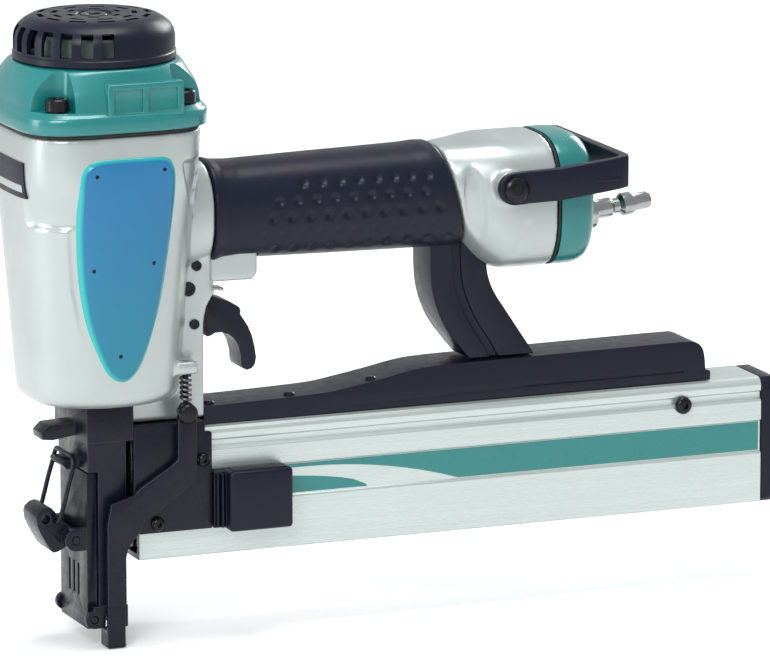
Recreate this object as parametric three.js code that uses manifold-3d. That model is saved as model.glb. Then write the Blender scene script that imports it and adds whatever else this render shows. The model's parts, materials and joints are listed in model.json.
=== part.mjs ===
import * as THREE from 'three';
import { mergeVertices } from 'three/addons/utils/BufferGeometryUtils.js';
import Module from 'manifold-3d';

// Magazine-fed pneumatic wide-crown fastener driver, in millimetres, +Z up.
// The driver axis is vertical, the magazine and the handle run along +X.
// Sub-parts are modelled about the driver axis with Z = 0 at the contact foot's face,
// and the whole tool is then set with its origin on the muzzle face.

// Driving sizes
const crownWidth = 25.4;
const legLength = 50;
const wireThickness = 1.6;
const boreRadius = 22;
const barrelFootHalf = 36.5;
const barrelTopHalf = 43;
const barrelFloor = 18;
const headHeight = 28;
const capRadius = 37.5;
const capHeight = 20;
const handleLength = 121;
const gripHalfHeight = 24;
const gripHalfWidth = 21.5;
const endHalf = 31.5;
const endHousingLength = 46;
const endCapLength = 18;
const magazineLength = 316;
const magazineHalfWidth = 17;
const muzzleRise = 8.7;
const magazineRise = 38.5;
const noseBlockHeight = 16;
const noseHalfWidth = 20;
const doorHalfWidth = 18;

// Clearances and walls
const seat = 0.3;
const runningGap = 0.4;
const sleeveWall = 3;
const magazineWall = 2.4;
const gasketThickness = 1.4;
const pinRadius = 1.8;
const pinGap = 0.3;

// Heights worked out from the stack of parts
const muzzleZ = muzzleRise;
const crownRoom = 3.5;
const magazineHeight = legLength + crownRoom + magazineWall * 2 + 2.2;
const magazineTopZ = magazineRise + magazineHeight;
const footZ = magazineTopZ + noseBlockHeight;
const bladeTipZ = magazineTopZ - magazineWall - 0.6;
const driverStroke = bladeTipZ - muzzleZ;
const bumperHeight = 10;
const pistonHeight = 9.6;
const sleeveFootZ = footZ + barrelFloor + seat;
const bumperTopZ = sleeveFootZ + bumperHeight;
const pistonFootZ = bumperTopZ + driverStroke + seat;
const pistonTopZ = pistonFootZ + pistonHeight;
const sleeveTopZ = pistonTopZ + 1.6;
const barrelTopZ = sleeveTopZ + 0.4;
const headZ = barrelTopZ + seat + gasketThickness + seat;
const headTopZ = headZ + headHeight;
const capZ = headTopZ + seat;
const capTopZ = capZ + capHeight;

// Places along the tool
const webBackX = barrelTopHalf + 3.8;
const gripX = webBackX + 4.2;
const gripEndX = gripX + handleLength;
const endBackX = gripEndX + endHousingLength;
const endCapX = endBackX + seat + gasketThickness + seat;
const endCapBackX = endCapX + endCapLength;
const handleZ = barrelTopZ - 45;
const endZ = handleZ - 5;
const cavityRadius = boreRadius + sleeveWall + 3.6;
const magazineX = 14;
const magazineBackX = magazineX + magazineLength;

// Materials
const finish = (color, roughness, metalness) => new THREE.MeshStandardMaterial({ color, roughness, metalness });
const castSilver = finish(0xc9d2cf, 0.45, 0.3);
const tealPaint = finish(0x2a9a90, 0.35, 0.2);
const tealPlate = finish(0x2f93a5, 0.3, 0.1);
const darkPlastic = finish(0x1c2236, 0.55, 0);
const gripRubber = finish(0x20263c, 0.8, 0);
const blackSteel = finish(0x15182a, 0.4, 0.6);
const satinAluminium = finish(0xdfe5e4, 0.35, 0.7);
const brightSteel = finish(0xb9bec4, 0.25, 0.9);
const springSteel = finish(0x55585f, 0.35, 0.8);
const sealRubber = finish(0x101010, 0.85, 0);
const bareAluminium = finish(0xb4babb, 0.4, 0.8);

// Solids
const wasm = await Module();
wasm.setup();
const { Manifold, Mesh: SolidMesh } = wasm;

// Turns a closed geometry into a solid, dropping slivers and facing it outwards.
function solid(geometry) {
  const plain = geometry.clone();
  plain.deleteAttribute('normal');
  plain.deleteAttribute('uv');
  const merged = mergeVertices(plain, 1e-4);
  const points = merged.attributes.position.array;
  const kept = [];
  let volume = 0;
  for (let i = 0; i < merged.index.count; i += 3) {
    const [a, b, c] = [0, 1, 2].map((k) => merged.index.getX(i + k));
    if (a === b || b === c || c === a) continue;
    kept.push([a, b, c]);
    const [p, q, r] = [a, b, c].map((k) => new THREE.Vector3().fromArray(points, k * 3));
    volume += p.dot(q.cross(r));
  }
  const order = volume < 0 ? kept.map(([a, b, c]) => [a, c, b]) : kept;
  return new Manifold(new SolidMesh({
    numProp: 3,
    vertProperties: new Float32Array(points),
    triVerts: new Uint32Array(order.flat()),
  }));
}

function toGeometry(body) {
  const mesh = body.getMesh();
  const geometry = new THREE.BufferGeometry();
  geometry.setAttribute('position', new THREE.BufferAttribute(new Float32Array(mesh.vertProperties), 3));
  geometry.setIndex(new THREE.BufferAttribute(new Uint32Array(mesh.triVerts), 1));
  geometry.computeVertexNormals();
  return geometry;
}

function outlineShape(points) {
  return new THREE.Shape(points.map(([u, v]) => new THREE.Vector2(u, v)));
}

function extruded(shape, depth) {
  return new THREE.ExtrudeGeometry(shape, { depth, bevelEnabled: false, curveSegments: 8 });
}

function block(x0, x1, y0, y1, z0, z1) {
  const geometry = new THREE.BoxGeometry(x1 - x0, y1 - y0, z1 - z0);
  return solid(geometry.translate((x0 + x1) / 2, (y0 + y1) / 2, (z0 + z1) / 2));
}

// A plate with its outline in X and Z, running from y0 to y1.
function plateY(points, y0, y1) {
  return solid(extruded(outlineShape(points), y1 - y0).rotateX(Math.PI / 2).translate(0, y1, 0));
}

// A slab with its outline in X and Y, running from z0 to z1.
function slabZ(points, z0, z1) {
  return solid(extruded(outlineShape(points), z1 - z0).translate(0, 0, z0));
}

// A bar with its outline in Y and Z, running from x0 to x1.
function barX(points, x0, x1) {
  const turn = new THREE.Matrix4().makeBasis(
    new THREE.Vector3(0, 1, 0), new THREE.Vector3(0, 0, 1), new THREE.Vector3(1, 0, 0));
  return solid(extruded(outlineShape(points), x1 - x0).applyMatrix4(turn).translate(x0, 0, 0));
}

function rodZ(radius, z0, z1, x = 0, y = 0, sides = 16) {
  const geometry = new THREE.CylinderGeometry(radius, radius, z1 - z0, sides).rotateX(Math.PI / 2);
  return solid(geometry.translate(x, y, (z0 + z1) / 2));
}

function rodY(radius, y0, y1, x, z, sides = 16) {
  const geometry = new THREE.CylinderGeometry(radius, radius, y1 - y0, sides);
  return solid(geometry.translate(x, (y0 + y1) / 2, z));
}

function rodX(radius, x0, x1, y, z, sides = 16) {
  const geometry = new THREE.CylinderGeometry(radius, radius, x1 - x0, sides).rotateZ(Math.PI / 2);
  return solid(geometry.translate((x0 + x1) / 2, y, z));
}

// A turned piece about Z from a profile of [radius, height] points.
function turned(points, sides = 24) {
  const profile = points.map(([r, z]) => new THREE.Vector2(r, z));
  return solid(new THREE.LatheGeometry(profile, sides).rotateX(Math.PI / 2));
}

function ringProfile(inner, outer, z0, z1) {
  return [[inner, z0], [outer, z0], [outer, z1], [inner, z1], [inner, z0]];
}

// One squarish-round ring of points; the power sets how square it is.
function roundedRing(halfU, halfV, power, count) {
  return Array.from({ length: count }, (_, i) => {
    const angle = (i / count) * Math.PI * 2;
    const [c, s] = [Math.cos(angle), Math.sin(angle)];
    const reach = (Math.abs(c) ** power + Math.abs(s) ** power) ** (-1 / power);
    return [c * reach * halfU, s * reach * halfV];
  });
}

// A skin over rings of points, closed at both ends.
function skinned(rings) {
  const count = rings[0].length;
  const points = rings.flat();
  const centres = [rings[0], rings[rings.length - 1]].map((ring) => ring
    .reduce((sum, p) => sum.add(p), new THREE.Vector3()).divideScalar(count));
  const faces = [];
  for (let i = 0; i < count; i += 1) {
    const next = (i + 1) % count;
    for (let k = 0; k + 1 < rings.length; k += 1) {
      const [low, high] = [k * count, (k + 1) * count];
      faces.push(low + i, low + next, high + next, low + i, high + next, high + i);
    }
    const last = (rings.length - 1) * count;
    faces.push(points.length, next, i, points.length + 1, last + i, last + next);
  }
  const geometry = new THREE.BufferGeometry().setFromPoints([...points, ...centres]);
  return solid(geometry.setIndex(faces));
}

// Sections of [z, half, power] stacked along Z; grow moves the skin outwards.
function upright(sections, grow = 0, count = 32) {
  const ring = ([z, half, power]) => roundedRing(half + grow, half + grow, power, count)
    .map(([x, y]) => new THREE.Vector3(x, y, z));
  return skinned(sections.map(ring));
}

// Sections of [x, centre z, half height, half width, power] in a row along X.
function lengthwise(sections, grow = 0, count = 24) {
  const ring = ([x, z, halfZ, halfY, power]) => roundedRing(halfY + grow, halfZ + grow, power, count)
    .map(([y, dz]) => new THREE.Vector3(x, y, z + dz));
  return skinned(sections.map(ring));
}

// A round wire along a path of points.
function wire(points, radius, steps, sides = 6) {
  const path = new THREE.CatmullRomCurve3(points.map((p) => new THREE.Vector3(...p)), false, 'centripetal');
  const section = outlineShape(roundedRing(radius, radius, 2, sides));
  return solid(new THREE.ExtrudeGeometry(section, { steps, extrudePath: path, bevelEnabled: false }));
}

class CoilCurve extends THREE.Curve {
  constructor(radius, z0, z1, turns) {
    super();
    Object.assign(this, { radius, z0, z1, turns });
  }

  getPoint(t, target = new THREE.Vector3()) {
    const angle = t * this.turns * Math.PI * 2;
    const z = this.z0 + (this.z1 - this.z0) * t;
    return target.set(this.radius * Math.cos(angle), this.radius * Math.sin(angle), z);
  }
}

// A coil spring about Z, its wire kept inside z0 to z1.
function coilSpring(radius, wireRadius, z0, z1, turns) {
  const path = new CoilCurve(radius, z0 + wireRadius * 1.2, z1 - wireRadius * 1.2, turns);
  const section = outlineShape(roundedRing(wireRadius, wireRadius, 2, 5));
  const steps = Math.round(turns * 10);
  return solid(new THREE.ExtrudeGeometry(section, { steps, extrudePath: path, bevelEnabled: false }));
}

// A socket-head screw pointing down, its seat at Z = 0.
function capScrew(headRadius, headHigh, shankRadius, length) {
  const profile = [[0, -length], [shankRadius, -length], [shankRadius, 0], [headRadius, 0],
    [headRadius, headHigh * 0.85], [headRadius * 0.88, headHigh], [0, headHigh]];
  const socket = rodZ(headRadius * 0.5, headHigh * 0.45, headHigh + 1, 0, 0, 6);
  return turned(profile, 12).subtract(socket);
}

const tool = new THREE.Group();
tool.position.set(-3.7, 0, -muzzleZ);

function addPart(name, body, material, position = [0, 0, 0], rotation = [0, 0, 0]) {
  const mesh = new THREE.Mesh(toGeometry(body), material);
  mesh.name = name;
  mesh.position.set(...position);
  mesh.rotation.set(...rotation);
  tool.add(mesh);
}

// ---- Housing ----
const barrelHeight = barrelTopZ - footZ;
const barrelSections = [
  [footZ, barrelFootHalf - 4.5, 2.3],
  [footZ + 3, barrelFootHalf - 1.3, 2.4],
  [footZ + 9, barrelFootHalf, 2.4],
  [footZ + barrelHeight * 0.35, THREE.MathUtils.lerp(barrelFootHalf, barrelTopHalf, 0.38), 2.5],
  [footZ + barrelHeight * 0.68, THREE.MathUtils.lerp(barrelFootHalf, barrelTopHalf, 0.8), 2.8],
  [footZ + barrelHeight * 0.84, barrelTopHalf, 3.5],
  [barrelTopZ, barrelTopHalf, 4],
];
const gripWall = 6.5;
const coreHalfHeight = gripHalfHeight - gripWall;
const coreHalfWidth = gripHalfWidth - gripWall;
const rootX = barrelTopHalf - 16;
const rootSections = [
  [rootX, handleZ, gripHalfHeight + 7, gripHalfWidth + 5, 2.2],
  [webBackX - 3, handleZ, gripHalfHeight + 2, gripHalfWidth + 1.5, 2.3],
  [gripX - seat, handleZ, gripHalfHeight, gripHalfWidth, 2.4],
];
const coreSections = [
  [rootX, handleZ, coreHalfHeight, coreHalfWidth, 2.3],
  [gripEndX + 4, handleZ, coreHalfHeight, coreHalfWidth, 2.3],
];
const endSections = [
  [gripEndX + seat, handleZ, gripHalfHeight, gripHalfWidth, 2.5],
  [gripEndX + 9, endZ + 2, endHalf - 3.5, endHalf - 6, 2.7],
  [gripEndX + 20, endZ + 0.5, endHalf - 0.5, endHalf - 1.5, 3],
  [gripEndX + 29, endZ, endHalf, endHalf, 3],
  [endBackX, endZ, endHalf, endHalf, 3],
];
const webHalf = 16;
const lobeHalf = 13;
const lobeZ = handleZ - gripHalfHeight - 8;
const lobeEndX = webBackX + 28;
const legZ = magazineTopZ + 4.4;
const pivotX = webBackX - 7.6;
const pivotZ = handleZ - 33.2;
const triggerHalf = 7.8;
const slotHalf = triggerHalf + 0.5;
const hubRadius = 4.3;
const triggerPinRadius = 2.4;
const pinHead = 0.9;
const capScrewSpread = endHalf * 0.6;
const capScrewHole = 2.1;
const capScrewDepth = 7;
const headScrewDepth = 14;
const screwX = barrelTopHalf * 0.71;
const screwY = barrelTopHalf * 0.8;
const headScrewRadius = 2.6;
const boreHalf = 11;
const bladeHalf = crownWidth / 2 - 0.1;
const bladeSlotHalf = bladeHalf + 0.7;
const bladeThick = wireThickness;
const bladeSeat = 2.7;
const valveX = pivotX + 16.2;
const valveRadius = 6.5;
const valveFootZ = pivotZ + 3.2;
const valveTopZ = handleZ - boreHalf - 3;
const armOuterY = -26.8;
const armInnerY = -24.4;
const springX = 34;
const springY = (armOuterY + armInnerY) / 2;
const rodRadius = 1.3;
const lugZ = footZ + 12;
const webPins = [[webBackX - 3.6, handleZ - 22.6], [webBackX - 4.8, footZ + 32.6]];
const corners = [[-1, -1], [1, -1], [1, 1], [-1, 1]];

function webPlate() {
  const outline = [
    [11, legZ], [webBackX, legZ], [webBackX, pivotZ - 17], [webBackX + 1.5, pivotZ - 9],
    [webBackX + 6, pivotZ - 2], [webBackX + 13, lobeZ + 0.6], [webBackX + 13, handleZ - 10],
    [rootX, handleZ - 10], [rootX, footZ + 6], [11, footZ + 6],
  ];
  const lobe = [
    [rootX, lobeZ + 1], [lobeEndX - 3, lobeZ], [lobeEndX, lobeZ + 3], [lobeEndX, handleZ - 14],
    [rootX, handleZ - 14],
  ];
  const ahead = block(0, gripX - seat, -webHalf, webHalf, 0, handleZ);
  const behind = block(0, lobeEndX, -lobeHalf, lobeHalf, 0, handleZ);
  return plateY(outline, -webHalf, webHalf).intersect(ahead.add(behind))
    .add(plateY(lobe, -lobeHalf, lobeHalf));
}

function headScrewHoles(low, high) {
  return corners.map(([i, j]) => rodZ(headScrewRadius + seat, low, high, i * screwX, j * screwY, 16));
}

function capScrewHoles(x0, x1) {
  return corners.map(([i, j]) => rodX(capScrewHole, x0, x1, i * capScrewSpread, endZ + j * capScrewSpread, 12));
}

const hookX = gripEndX + 21.6;
const hookZ = endZ + 11;
const hookGap = 1.4;
const hookBossRadius = 7;
const hookShank = 2.8;
const hookScrewDepth = 13;
const hookSeatY = endHalf + hookGap + 5.6;

function hookBoss(side) {
  const [inner, outer] = [side * (hookSeatY - hookScrewDepth), side * (endHalf + hookGap - seat)];
  return rodY(hookBossRadius, Math.min(inner, outer), Math.max(inner, outer), hookX, hookZ, 32);
}

function hookScrewHole(side) {
  const [inner, outer] = [side * (hookSeatY - hookScrewDepth - seat), side * (endHalf + hookGap + 1)];
  return rodY(hookShank + seat, Math.min(inner, outer), Math.max(inner, outer), hookX, hookZ, 20);
}

function mainHousing() {
  let body = upright(barrelSections)
    .add(lengthwise(rootSections))
    .add(lengthwise(coreSections))
    .add(lengthwise(endSections))
    .add(webPlate())
    .add(hookBoss(-1))
    .add(hookBoss(1))
    .add(block(springX - 5, springX + 5, armOuterY - 2.6, -lobeHalf, lugZ, lugZ + 6));
  const cuts = [
    rodZ(cavityRadius, footZ + barrelFloor, barrelTopZ + 1, 0, 0, 40),
    block(-2.2, 2.2, -bladeSlotHalf, bladeSlotHalf, footZ - 1, footZ + barrelFloor + 1),
    rodX(boreHalf, 20, endBackX + 1, 0, handleZ, 24),
    rodX(endHalf - 8, gripEndX + 22, endBackX + 1, 0, endZ, 28),
    block(pivotX - 0.7, lobeEndX + 6, -slotHalf, slotHalf, legZ - 1, pivotZ + 2.2),
    rodY(hubRadius + 0.7, -slotHalf, slotHalf, pivotX, pivotZ),
    rodY(triggerPinRadius + seat, -webHalf - 1, webHalf + 1, pivotX, pivotZ),
    rodY(triggerPinRadius + pinHead + seat, -webHalf - 4, -webHalf, pivotX, pivotZ),
    rodZ(valveRadius + seat, pivotZ + 1, handleZ - boreHalf + 2, valveX, 0),
    rodZ(rodRadius + runningGap, lugZ - 1, lugZ + 7, springX, springY, 12),
    ...capScrewHoles(endBackX - capScrewDepth, endBackX + 1),
    hookScrewHole(-1),
    hookScrewHole(1),
    ...webPins.map(([x, z]) => rodY(pinRadius + seat, -webHalf - 1, webHalf + 1, x, z, 16)),
    ...headScrewHoles(barrelTopZ - headScrewDepth, barrelTopZ + 1),
  ];
  for (const cut of cuts) body = body.subtract(cut);
  return body;
}

const panelOutline = [
  [-0.52, 0.85], [-0.49, 0.89], [-0.36, 0.93], [0.42, 0.915], [0.52, 0.9], [0.56, 0.85], [0.52, 0.6],
  [0.4, 0.38], [0.22, 0.2], [0.1, 0.12], [0, 0.095], [-0.12, 0.11], [-0.225, 0.15],
  [-0.4, 0.29], [-0.5, 0.46],
].map(([u, w]) => [u * barrelTopHalf, footZ + w * barrelHeight]);

function skinLayer(from, to) {
  return upright(barrelSections, to).subtract(upright(barrelSections, from));
}

function sidePanel(side) {
  const [inner, outer] = [side * 20, side * (barrelTopHalf + 6)];
  return skinLayer(seat, 2.3).intersect(plateY(panelOutline, Math.min(inner, outer), Math.max(inner, outer)));
}

function dataPlate() {
  const [low, high] = [footZ + barrelHeight * 0.77, footZ + barrelHeight * 0.9];
  return skinLayer(seat, 1.1).intersect(block(-barrelTopHalf - 4, -barrelTopHalf * 0.5, -22, 22, low, high));
}

addPart('main_housing', mainHousing(), castSilver);
addPart('side_panel_left', sidePanel(-1), tealPlate);
addPart('side_panel_right', sidePanel(1), tealPlate);
addPart('data_plate', dataPlate(), darkPlastic);

// ---- Air motor ----
function cylinderSleeve() {
  const [inner, outer] = [boreRadius, boreRadius + sleeveWall];
  const flange = cavityRadius - seat;
  return turned([[inner, sleeveFootZ], [outer, sleeveFootZ], [outer, sleeveTopZ - 4], [flange, sleeveTopZ - 4],
    [flange, sleeveTopZ], [inner, sleeveTopZ], [inner, sleeveFootZ]]);
}

function piston() {
  const outer = boreRadius - seat;
  const groove = outer - 2.6;
  const [low, high] = [pistonTopZ - 6.2, pistonTopZ - 2.4];
  const disc = turned([[0, pistonFootZ], [outer, pistonFootZ], [outer, low], [groove, low], [groove, high],
    [outer, high], [outer, pistonTopZ], [0, pistonTopZ]]);
  const [thick, wide] = [bladeThick / 2 + seat, bladeHalf + seat];
  return disc.subtract(block(-thick, thick, -wide, wide, pistonFootZ - 1, pistonFootZ + bladeSeat + seat));
}

function pistonRing() {
  return turned(ringProfile(boreRadius - 2.6, boreRadius - 0.15, pistonTopZ - 5.9, pistonTopZ - 2.7));
}

function pistonBumper() {
  return turned(ringProfile(bladeHalf + 1.2, boreRadius - seat, sleeveFootZ, bumperTopZ));
}

function driverBlade() {
  const thick = bladeThick / 2;
  return block(-thick, thick, -bladeHalf, bladeHalf, bladeTipZ, pistonFootZ + bladeSeat);
}

addPart('cylinder_sleeve', cylinderSleeve(), bareAluminium);
addPart('piston_bumper', pistonBumper(), sealRubber);
addPart('piston', piston(), bareAluminium);
addPart('piston_ring', pistonRing(), sealRubber);
addPart('driver_blade', driverBlade(), brightSteel);

// ---- Cylinder head and exhaust ----
const headHalf = barrelTopHalf + 2.6;
const headCavityRadius = cavityRadius + 2;
const headCavityTop = headZ + headHeight - 8;
const valveZ = sleeveTopZ + seat;
const headValveHeight = 13;
const headValveTop = valveZ + headValveHeight;
const screwSeatZ = headZ + 10;
const exhaustRing = boreRadius - 6;
const coverScrewRadius = 2.4;

function cylinderHead() {
  let body = upright([[headZ, headHalf, 4], [headZ + 8.5, headHalf, 4], [headZ + 10, headHalf - 2, 3.8],
    [headZ + 17, headHalf - 2.4, 3.4], [headTopZ - 4, headHalf - 5, 2.7], [headTopZ, capRadius + 0.8, 2.1]]);
  body = body.add(block(-8, 26, -headHalf - 0.4, 0, headZ + 10, headZ + 19));
  body = body.subtract(rodZ(headCavityRadius, headZ - 1, headCavityTop, 0, 0, 36));
  body = body.subtract(rodZ(coverScrewRadius + seat, headCavityTop - 1, headTopZ + 1));
  for (let k = 0; k < 6; k += 1) {
    const angle = (k + 0.5) * Math.PI / 3;
    const [x, y] = [exhaustRing * Math.cos(angle), exhaustRing * Math.sin(angle)];
    body = body.subtract(rodZ(4, headCavityTop - 1, headTopZ + 1, x, y, 12));
  }
  for (const [i, j] of corners) {
    const [x, y] = [i * screwX, j * screwY];
    const pocket = rodZ(6.4, screwSeatZ, headTopZ + 1, x, y, 18)
      .add(block(Math.min(x, x + i * 20), Math.max(x, x + i * 20), y - 6.4, y + 6.4, screwSeatZ, headTopZ + 1))
      .add(block(x - 6.4, x + 6.4, Math.min(y, y + j * 20), Math.max(y, y + j * 20), screwSeatZ, headTopZ + 1));
    body = body.subtract(pocket).subtract(rodZ(headScrewRadius + seat, headZ - 1, screwSeatZ + 1, x, y, 16));
  }
  return body;
}

function headGasket() {
  const [low, high] = [barrelTopZ + seat, headZ - seat];
  let body = upright([[low, barrelTopHalf, 4], [high, barrelTopHalf, 4]])
    .subtract(rodZ(cavityRadius + 0.8, low - 1, high + 1, 0, 0, 36));
  for (const hole of headScrewHoles(low - 1, high + 1)) body = body.subtract(hole);
  return body;
}

function headValve() {
  const [low, wide] = [cavityRadius - 0.5, headCavityRadius - runningGap];
  return turned([[9, valveZ], [low, valveZ], [low, headZ + 0.8], [wide, headZ + 1], [wide, headValveTop],
    [9, headValveTop], [9, valveZ]]);
}

function exhaustCover() {
  const r = capRadius;
  let shell = turned([[3.4, capZ], [7.5, capZ], [7.5, capTopZ - 5.5], [r - 11, capTopZ - 2.6],
    [r - 6.5, capTopZ - 4.6], [r - 3.7, capZ + 13], [r - 2.6, capZ + 9], [r - 2.6, capZ], [r, capZ],
    [r, capZ + 10.5], [r - 1, capZ + 14.2], [r - 4.2, capZ + 17.8], [r - 8.5, capTopZ - 0.4], [r - 12, capTopZ],
    [6.8, capTopZ], [6.8, capTopZ - 3.2], [3.4, capTopZ - 3.2], [3.4, capZ]], 36);
  const windowHalf = 2.9;
  const windowPitch = 0.269;
  for (let k = -4; k <= 4; k += 1) {
    const opening = new THREE.BoxGeometry(12, windowHalf * 2, 11.5).translate(-r, 0, capZ + 10.2);
    shell = shell.subtract(solid(opening.rotateZ(k * windowPitch)));
  }
  return shell;
}

const coverScrewSink = 2.9;
const coverScrewLength = capTopZ - coverScrewSink - (headTopZ - 5);
addPart('cylinder_head', cylinderHead(), tealPaint);
addPart('cylinder_gasket', headGasket(), sealRubber);
addPart('head_valve', headValve(), darkPlastic);
addPart('head_valve_spring', coilSpring(20, 0.9, headValveTop + seat, headCavityTop - seat, 2.5), springSteel);
addPart('exhaust_muffler', turned(ringProfile(21, 25.5, capZ, capZ + 11)), castSilver);
addPart('exhaust_cover', exhaustCover(), darkPlastic);
addPart('exhaust_screw', capScrew(6.2, 2.6, coverScrewRadius, coverScrewLength), blackSteel,
  [0, 0, capTopZ - coverScrewSink]);
corners.forEach(([i, j], k) => addPart(`head_screw_${k + 1}`,
  capScrew(5.4, 6, headScrewRadius, 22), blackSteel, [i * screwX, j * screwY, screwSeatZ + seat]));

// ---- Handle ----
function rubberGrip() {
  const [h, w, z] = [gripHalfHeight, gripHalfWidth, handleZ];
  const outer = lengthwise([[gripX, z, h + 0.3, w + 0.2, 2.5], [gripX + 3, z, h + 0.3, w + 0.2, 2.5],
    [gripX + 6, z, h - 0.9, w - 0.8, 2.4], [gripX + handleLength * 0.45, z, h - 0.3, w - 0.2, 2.4],
    [gripEndX - 9, z, h + 1.2, w + 1, 2.5], [gripEndX - 3, z, h + 1, w + 0.8, 2.5],
    [gripEndX - seat, z, h, w, 2.5]]);
  const inner = lengthwise([[gripX - 1, z, coreHalfHeight + seat, coreHalfWidth + seat, 2.3],
    [gripEndX + 1, z, coreHalfHeight + seat, coreHalfWidth + seat, 2.3]]);
  const notch = block(gripX - 1, lobeEndX + seat, -lobeHalf - seat, lobeHalf + seat, lobeZ - 1, handleZ - 8);
  return outer.subtract(inner).subtract(notch);
}

const plugZ = endZ - 10.5;
const plugTilt = -0.11;
const capScrewSink = 2.8;
const capScrewHead = 3.6;

function handleEndCap() {
  const shell = lengthwise([[endCapX, endZ, endHalf, endHalf, 3],
    [endCapX + endCapLength * 0.5, endZ, endHalf, endHalf, 3],
    [endCapX + endCapLength * 0.85, endZ, endHalf - 2, endHalf - 2, 3],
    [endCapBackX, endZ, endHalf - 5, endHalf - 5, 2.9]]);
  let body = shell.subtract(rodX(endHalf - 9, endCapX - 1, endCapX + endCapLength * 0.45, 0, endZ, 28))
    .subtract(rodX(7.4, endCapX, endCapBackX + 1, 0, plugZ));
  for (const hole of capScrewHoles(endCapX - 1, endCapBackX + 1)) body = body.subtract(hole);
  for (const [i, j] of corners) {
    const [y, z] = [i * capScrewSpread, endZ + j * capScrewSpread];
    body = body.subtract(rodX(capScrewHead + seat, endCapBackX - capScrewSink, endCapBackX + 1, y, z, 16));
  }
  return body;
}

function endGasket() {
  const [x0, x1] = [endBackX + seat, endCapX - seat];
  const half = endHalf - 0.5;
  let body = lengthwise([[x0, endZ, half, half, 3], [x1, endZ, half, half, 3]])
    .subtract(rodX(endHalf - 8, x0 - 1, x1 + 1, 0, endZ, 28));
  for (const hole of capScrewHoles(x0 - 1, x1 + 1)) body = body.subtract(hole);
  return body;
}

function airPlug() {
  const shank = turned([[2.6, -7], [6, -7], [6, 0], [8, 0], [8, 9.5], [4.6, 10.5], [4.6, 19], [3.6, 20],
      [3.6, 23],
    [5.4, 24.5], [5.4, 29.5], [4.1, 31.5], [4.1, 38], [3.6, 39], [2.6, 39], [2.6, -7]], 20);
  const hex = solid(new THREE.CylinderGeometry(9.2, 9.2, 9.2, 6).rotateX(Math.PI / 2).translate(0, 0, 4.9));
  return shank.add(hex.subtract(rodZ(7, -1, 11)));
}

const hookBackX = endCapBackX + 7.4;
const hookBar = 4;

function carryHook() {
  const near = endHalf + hookGap;
  const far = endHalf + 10;
  const half = (side) => [
    [hookX - 8, side * near], [hookX - 8, side * (near + 3.7)], [hookX + 6, side * (near + 5.3)],
    [hookBackX - 10, side * (far + hookBar)], [hookBackX, side * (far + hookBar)],
    [hookBackX + hookBar, side * far],
  ];
  const insideHalf = (side) => [
    [hookBackX, side * (far - 2)], [hookBackX - 2, side * far], [hookBackX - 10, side * far],
    [hookX + 5, side * (near + 1.3)],
  ];
  const outline = [...half(-1), ...half(1).reverse(), ...insideHalf(1).reverse(), ...insideHalf(-1)];
  const height = (x) => 7.6 + (x - hookX) / (hookBackX - hookX) * 2.9;
  const top = [hookBackX + hookBar + 1, hookZ + 3.2 + height(hookBackX)];
  const side = [[hookX, hookZ - 7.6], [hookBackX + hookBar + 1, hookZ + 3.2 - height(hookBackX)], top,
    [hookX, hookZ + 7.6]];
  const sideView = plateY(side, -far - 9, far + 9).add(rodY(7.6, -far - 9, far + 9, hookX, hookZ, 24));
  return slabZ(outline, hookZ - 12, hookZ + 20).intersect(sideView)
    .subtract(rodY(hookShank + seat, -far - 9, far + 9, hookX, hookZ, 16));
}

const hookScrew = () => turned([[0, -hookScrewDepth], [hookShank, -hookScrewDepth], [hookShank, 0], [6, 0],
  [6, 1.4], [4.6, 2.6], [0, 2.6]], 20);
addPart('rubber_grip', rubberGrip(), gripRubber);
addPart('end_cap_gasket', endGasket(), sealRubber);
addPart('handle_end_cap', handleEndCap(), tealPaint);
corners.forEach(([i, j], k) => addPart(`end_cap_screw_${k + 1}`, capScrew(capScrewHead, 2.4, 1.8, 21),
    blackSteel,
  [endCapBackX - capScrewSink + seat, i * capScrewSpread, endZ + j * capScrewSpread], [0, Math.PI / 2, 0]));
addPart('air_plug', airPlug(), brightSteel, [endCapBackX + 1.2, 0, plugZ], [0, Math.PI / 2 + plugTilt, 0]);
addPart('carry_hook', carryHook(), darkPlastic);
addPart('hook_screw_left', hookScrew(), blackSteel, [hookX, -hookSeatY, hookZ], [Math.PI / 2, 0, 0]);
addPart('hook_screw_right', hookScrew(), blackSteel, [hookX, hookSeatY, hookZ], [-Math.PI / 2, 0, 0]);

// ---- Trigger and valve ----
const around = (points, x, z) => points.map(([u, w]) => [x + u, z + w]);

function trigger() {
  const outline = [[-1.8, -3.5], [4, -3.5], [8.2, -4.2], [16.2, -6.5], [24, -9.5], [28.8, -12.5], [28.6, -15.6],
    [32.5, -21], [35.1, -27.5], [36.5, -36.2], [34.4, -41.2], [31.5, -42.3], [29.3, -41], [28.8, -35],
    [27.2, -29.5], [23, -24.7], [19.5, -23.3], [16.2, -23.4], [12.6, -25.6], [11.9, -15.5], [8.2, -9.5]];
  return plateY(around(outline, pivotX, pivotZ), -triggerHalf, triggerHalf)
    .add(rodY(hubRadius, -triggerHalf, triggerHalf, pivotX, pivotZ))
    .subtract(rodY(triggerPinRadius + seat, -triggerHalf - 1, triggerHalf + 1, pivotX, pivotZ));
}

function triggerArm() {
  const outline = [[5.8, -2.6], [22.2, -4.9], [22.2, -3.4], [5.8, -1.2]];
  return plateY(around(outline, pivotX, pivotZ), -3.5, 3.5);
}

function valveBody() {
  const [low, high] = [valveFootZ, valveTopZ];
  return turned([[2.4, low], [valveRadius, low], [valveRadius, high], [4.7, high], [4.7, low + 1.8],
    [2.4, low + 1.8], [2.4, low]], 20);
}

const stemFlangeZ = valveFootZ + 2.1;

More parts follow.
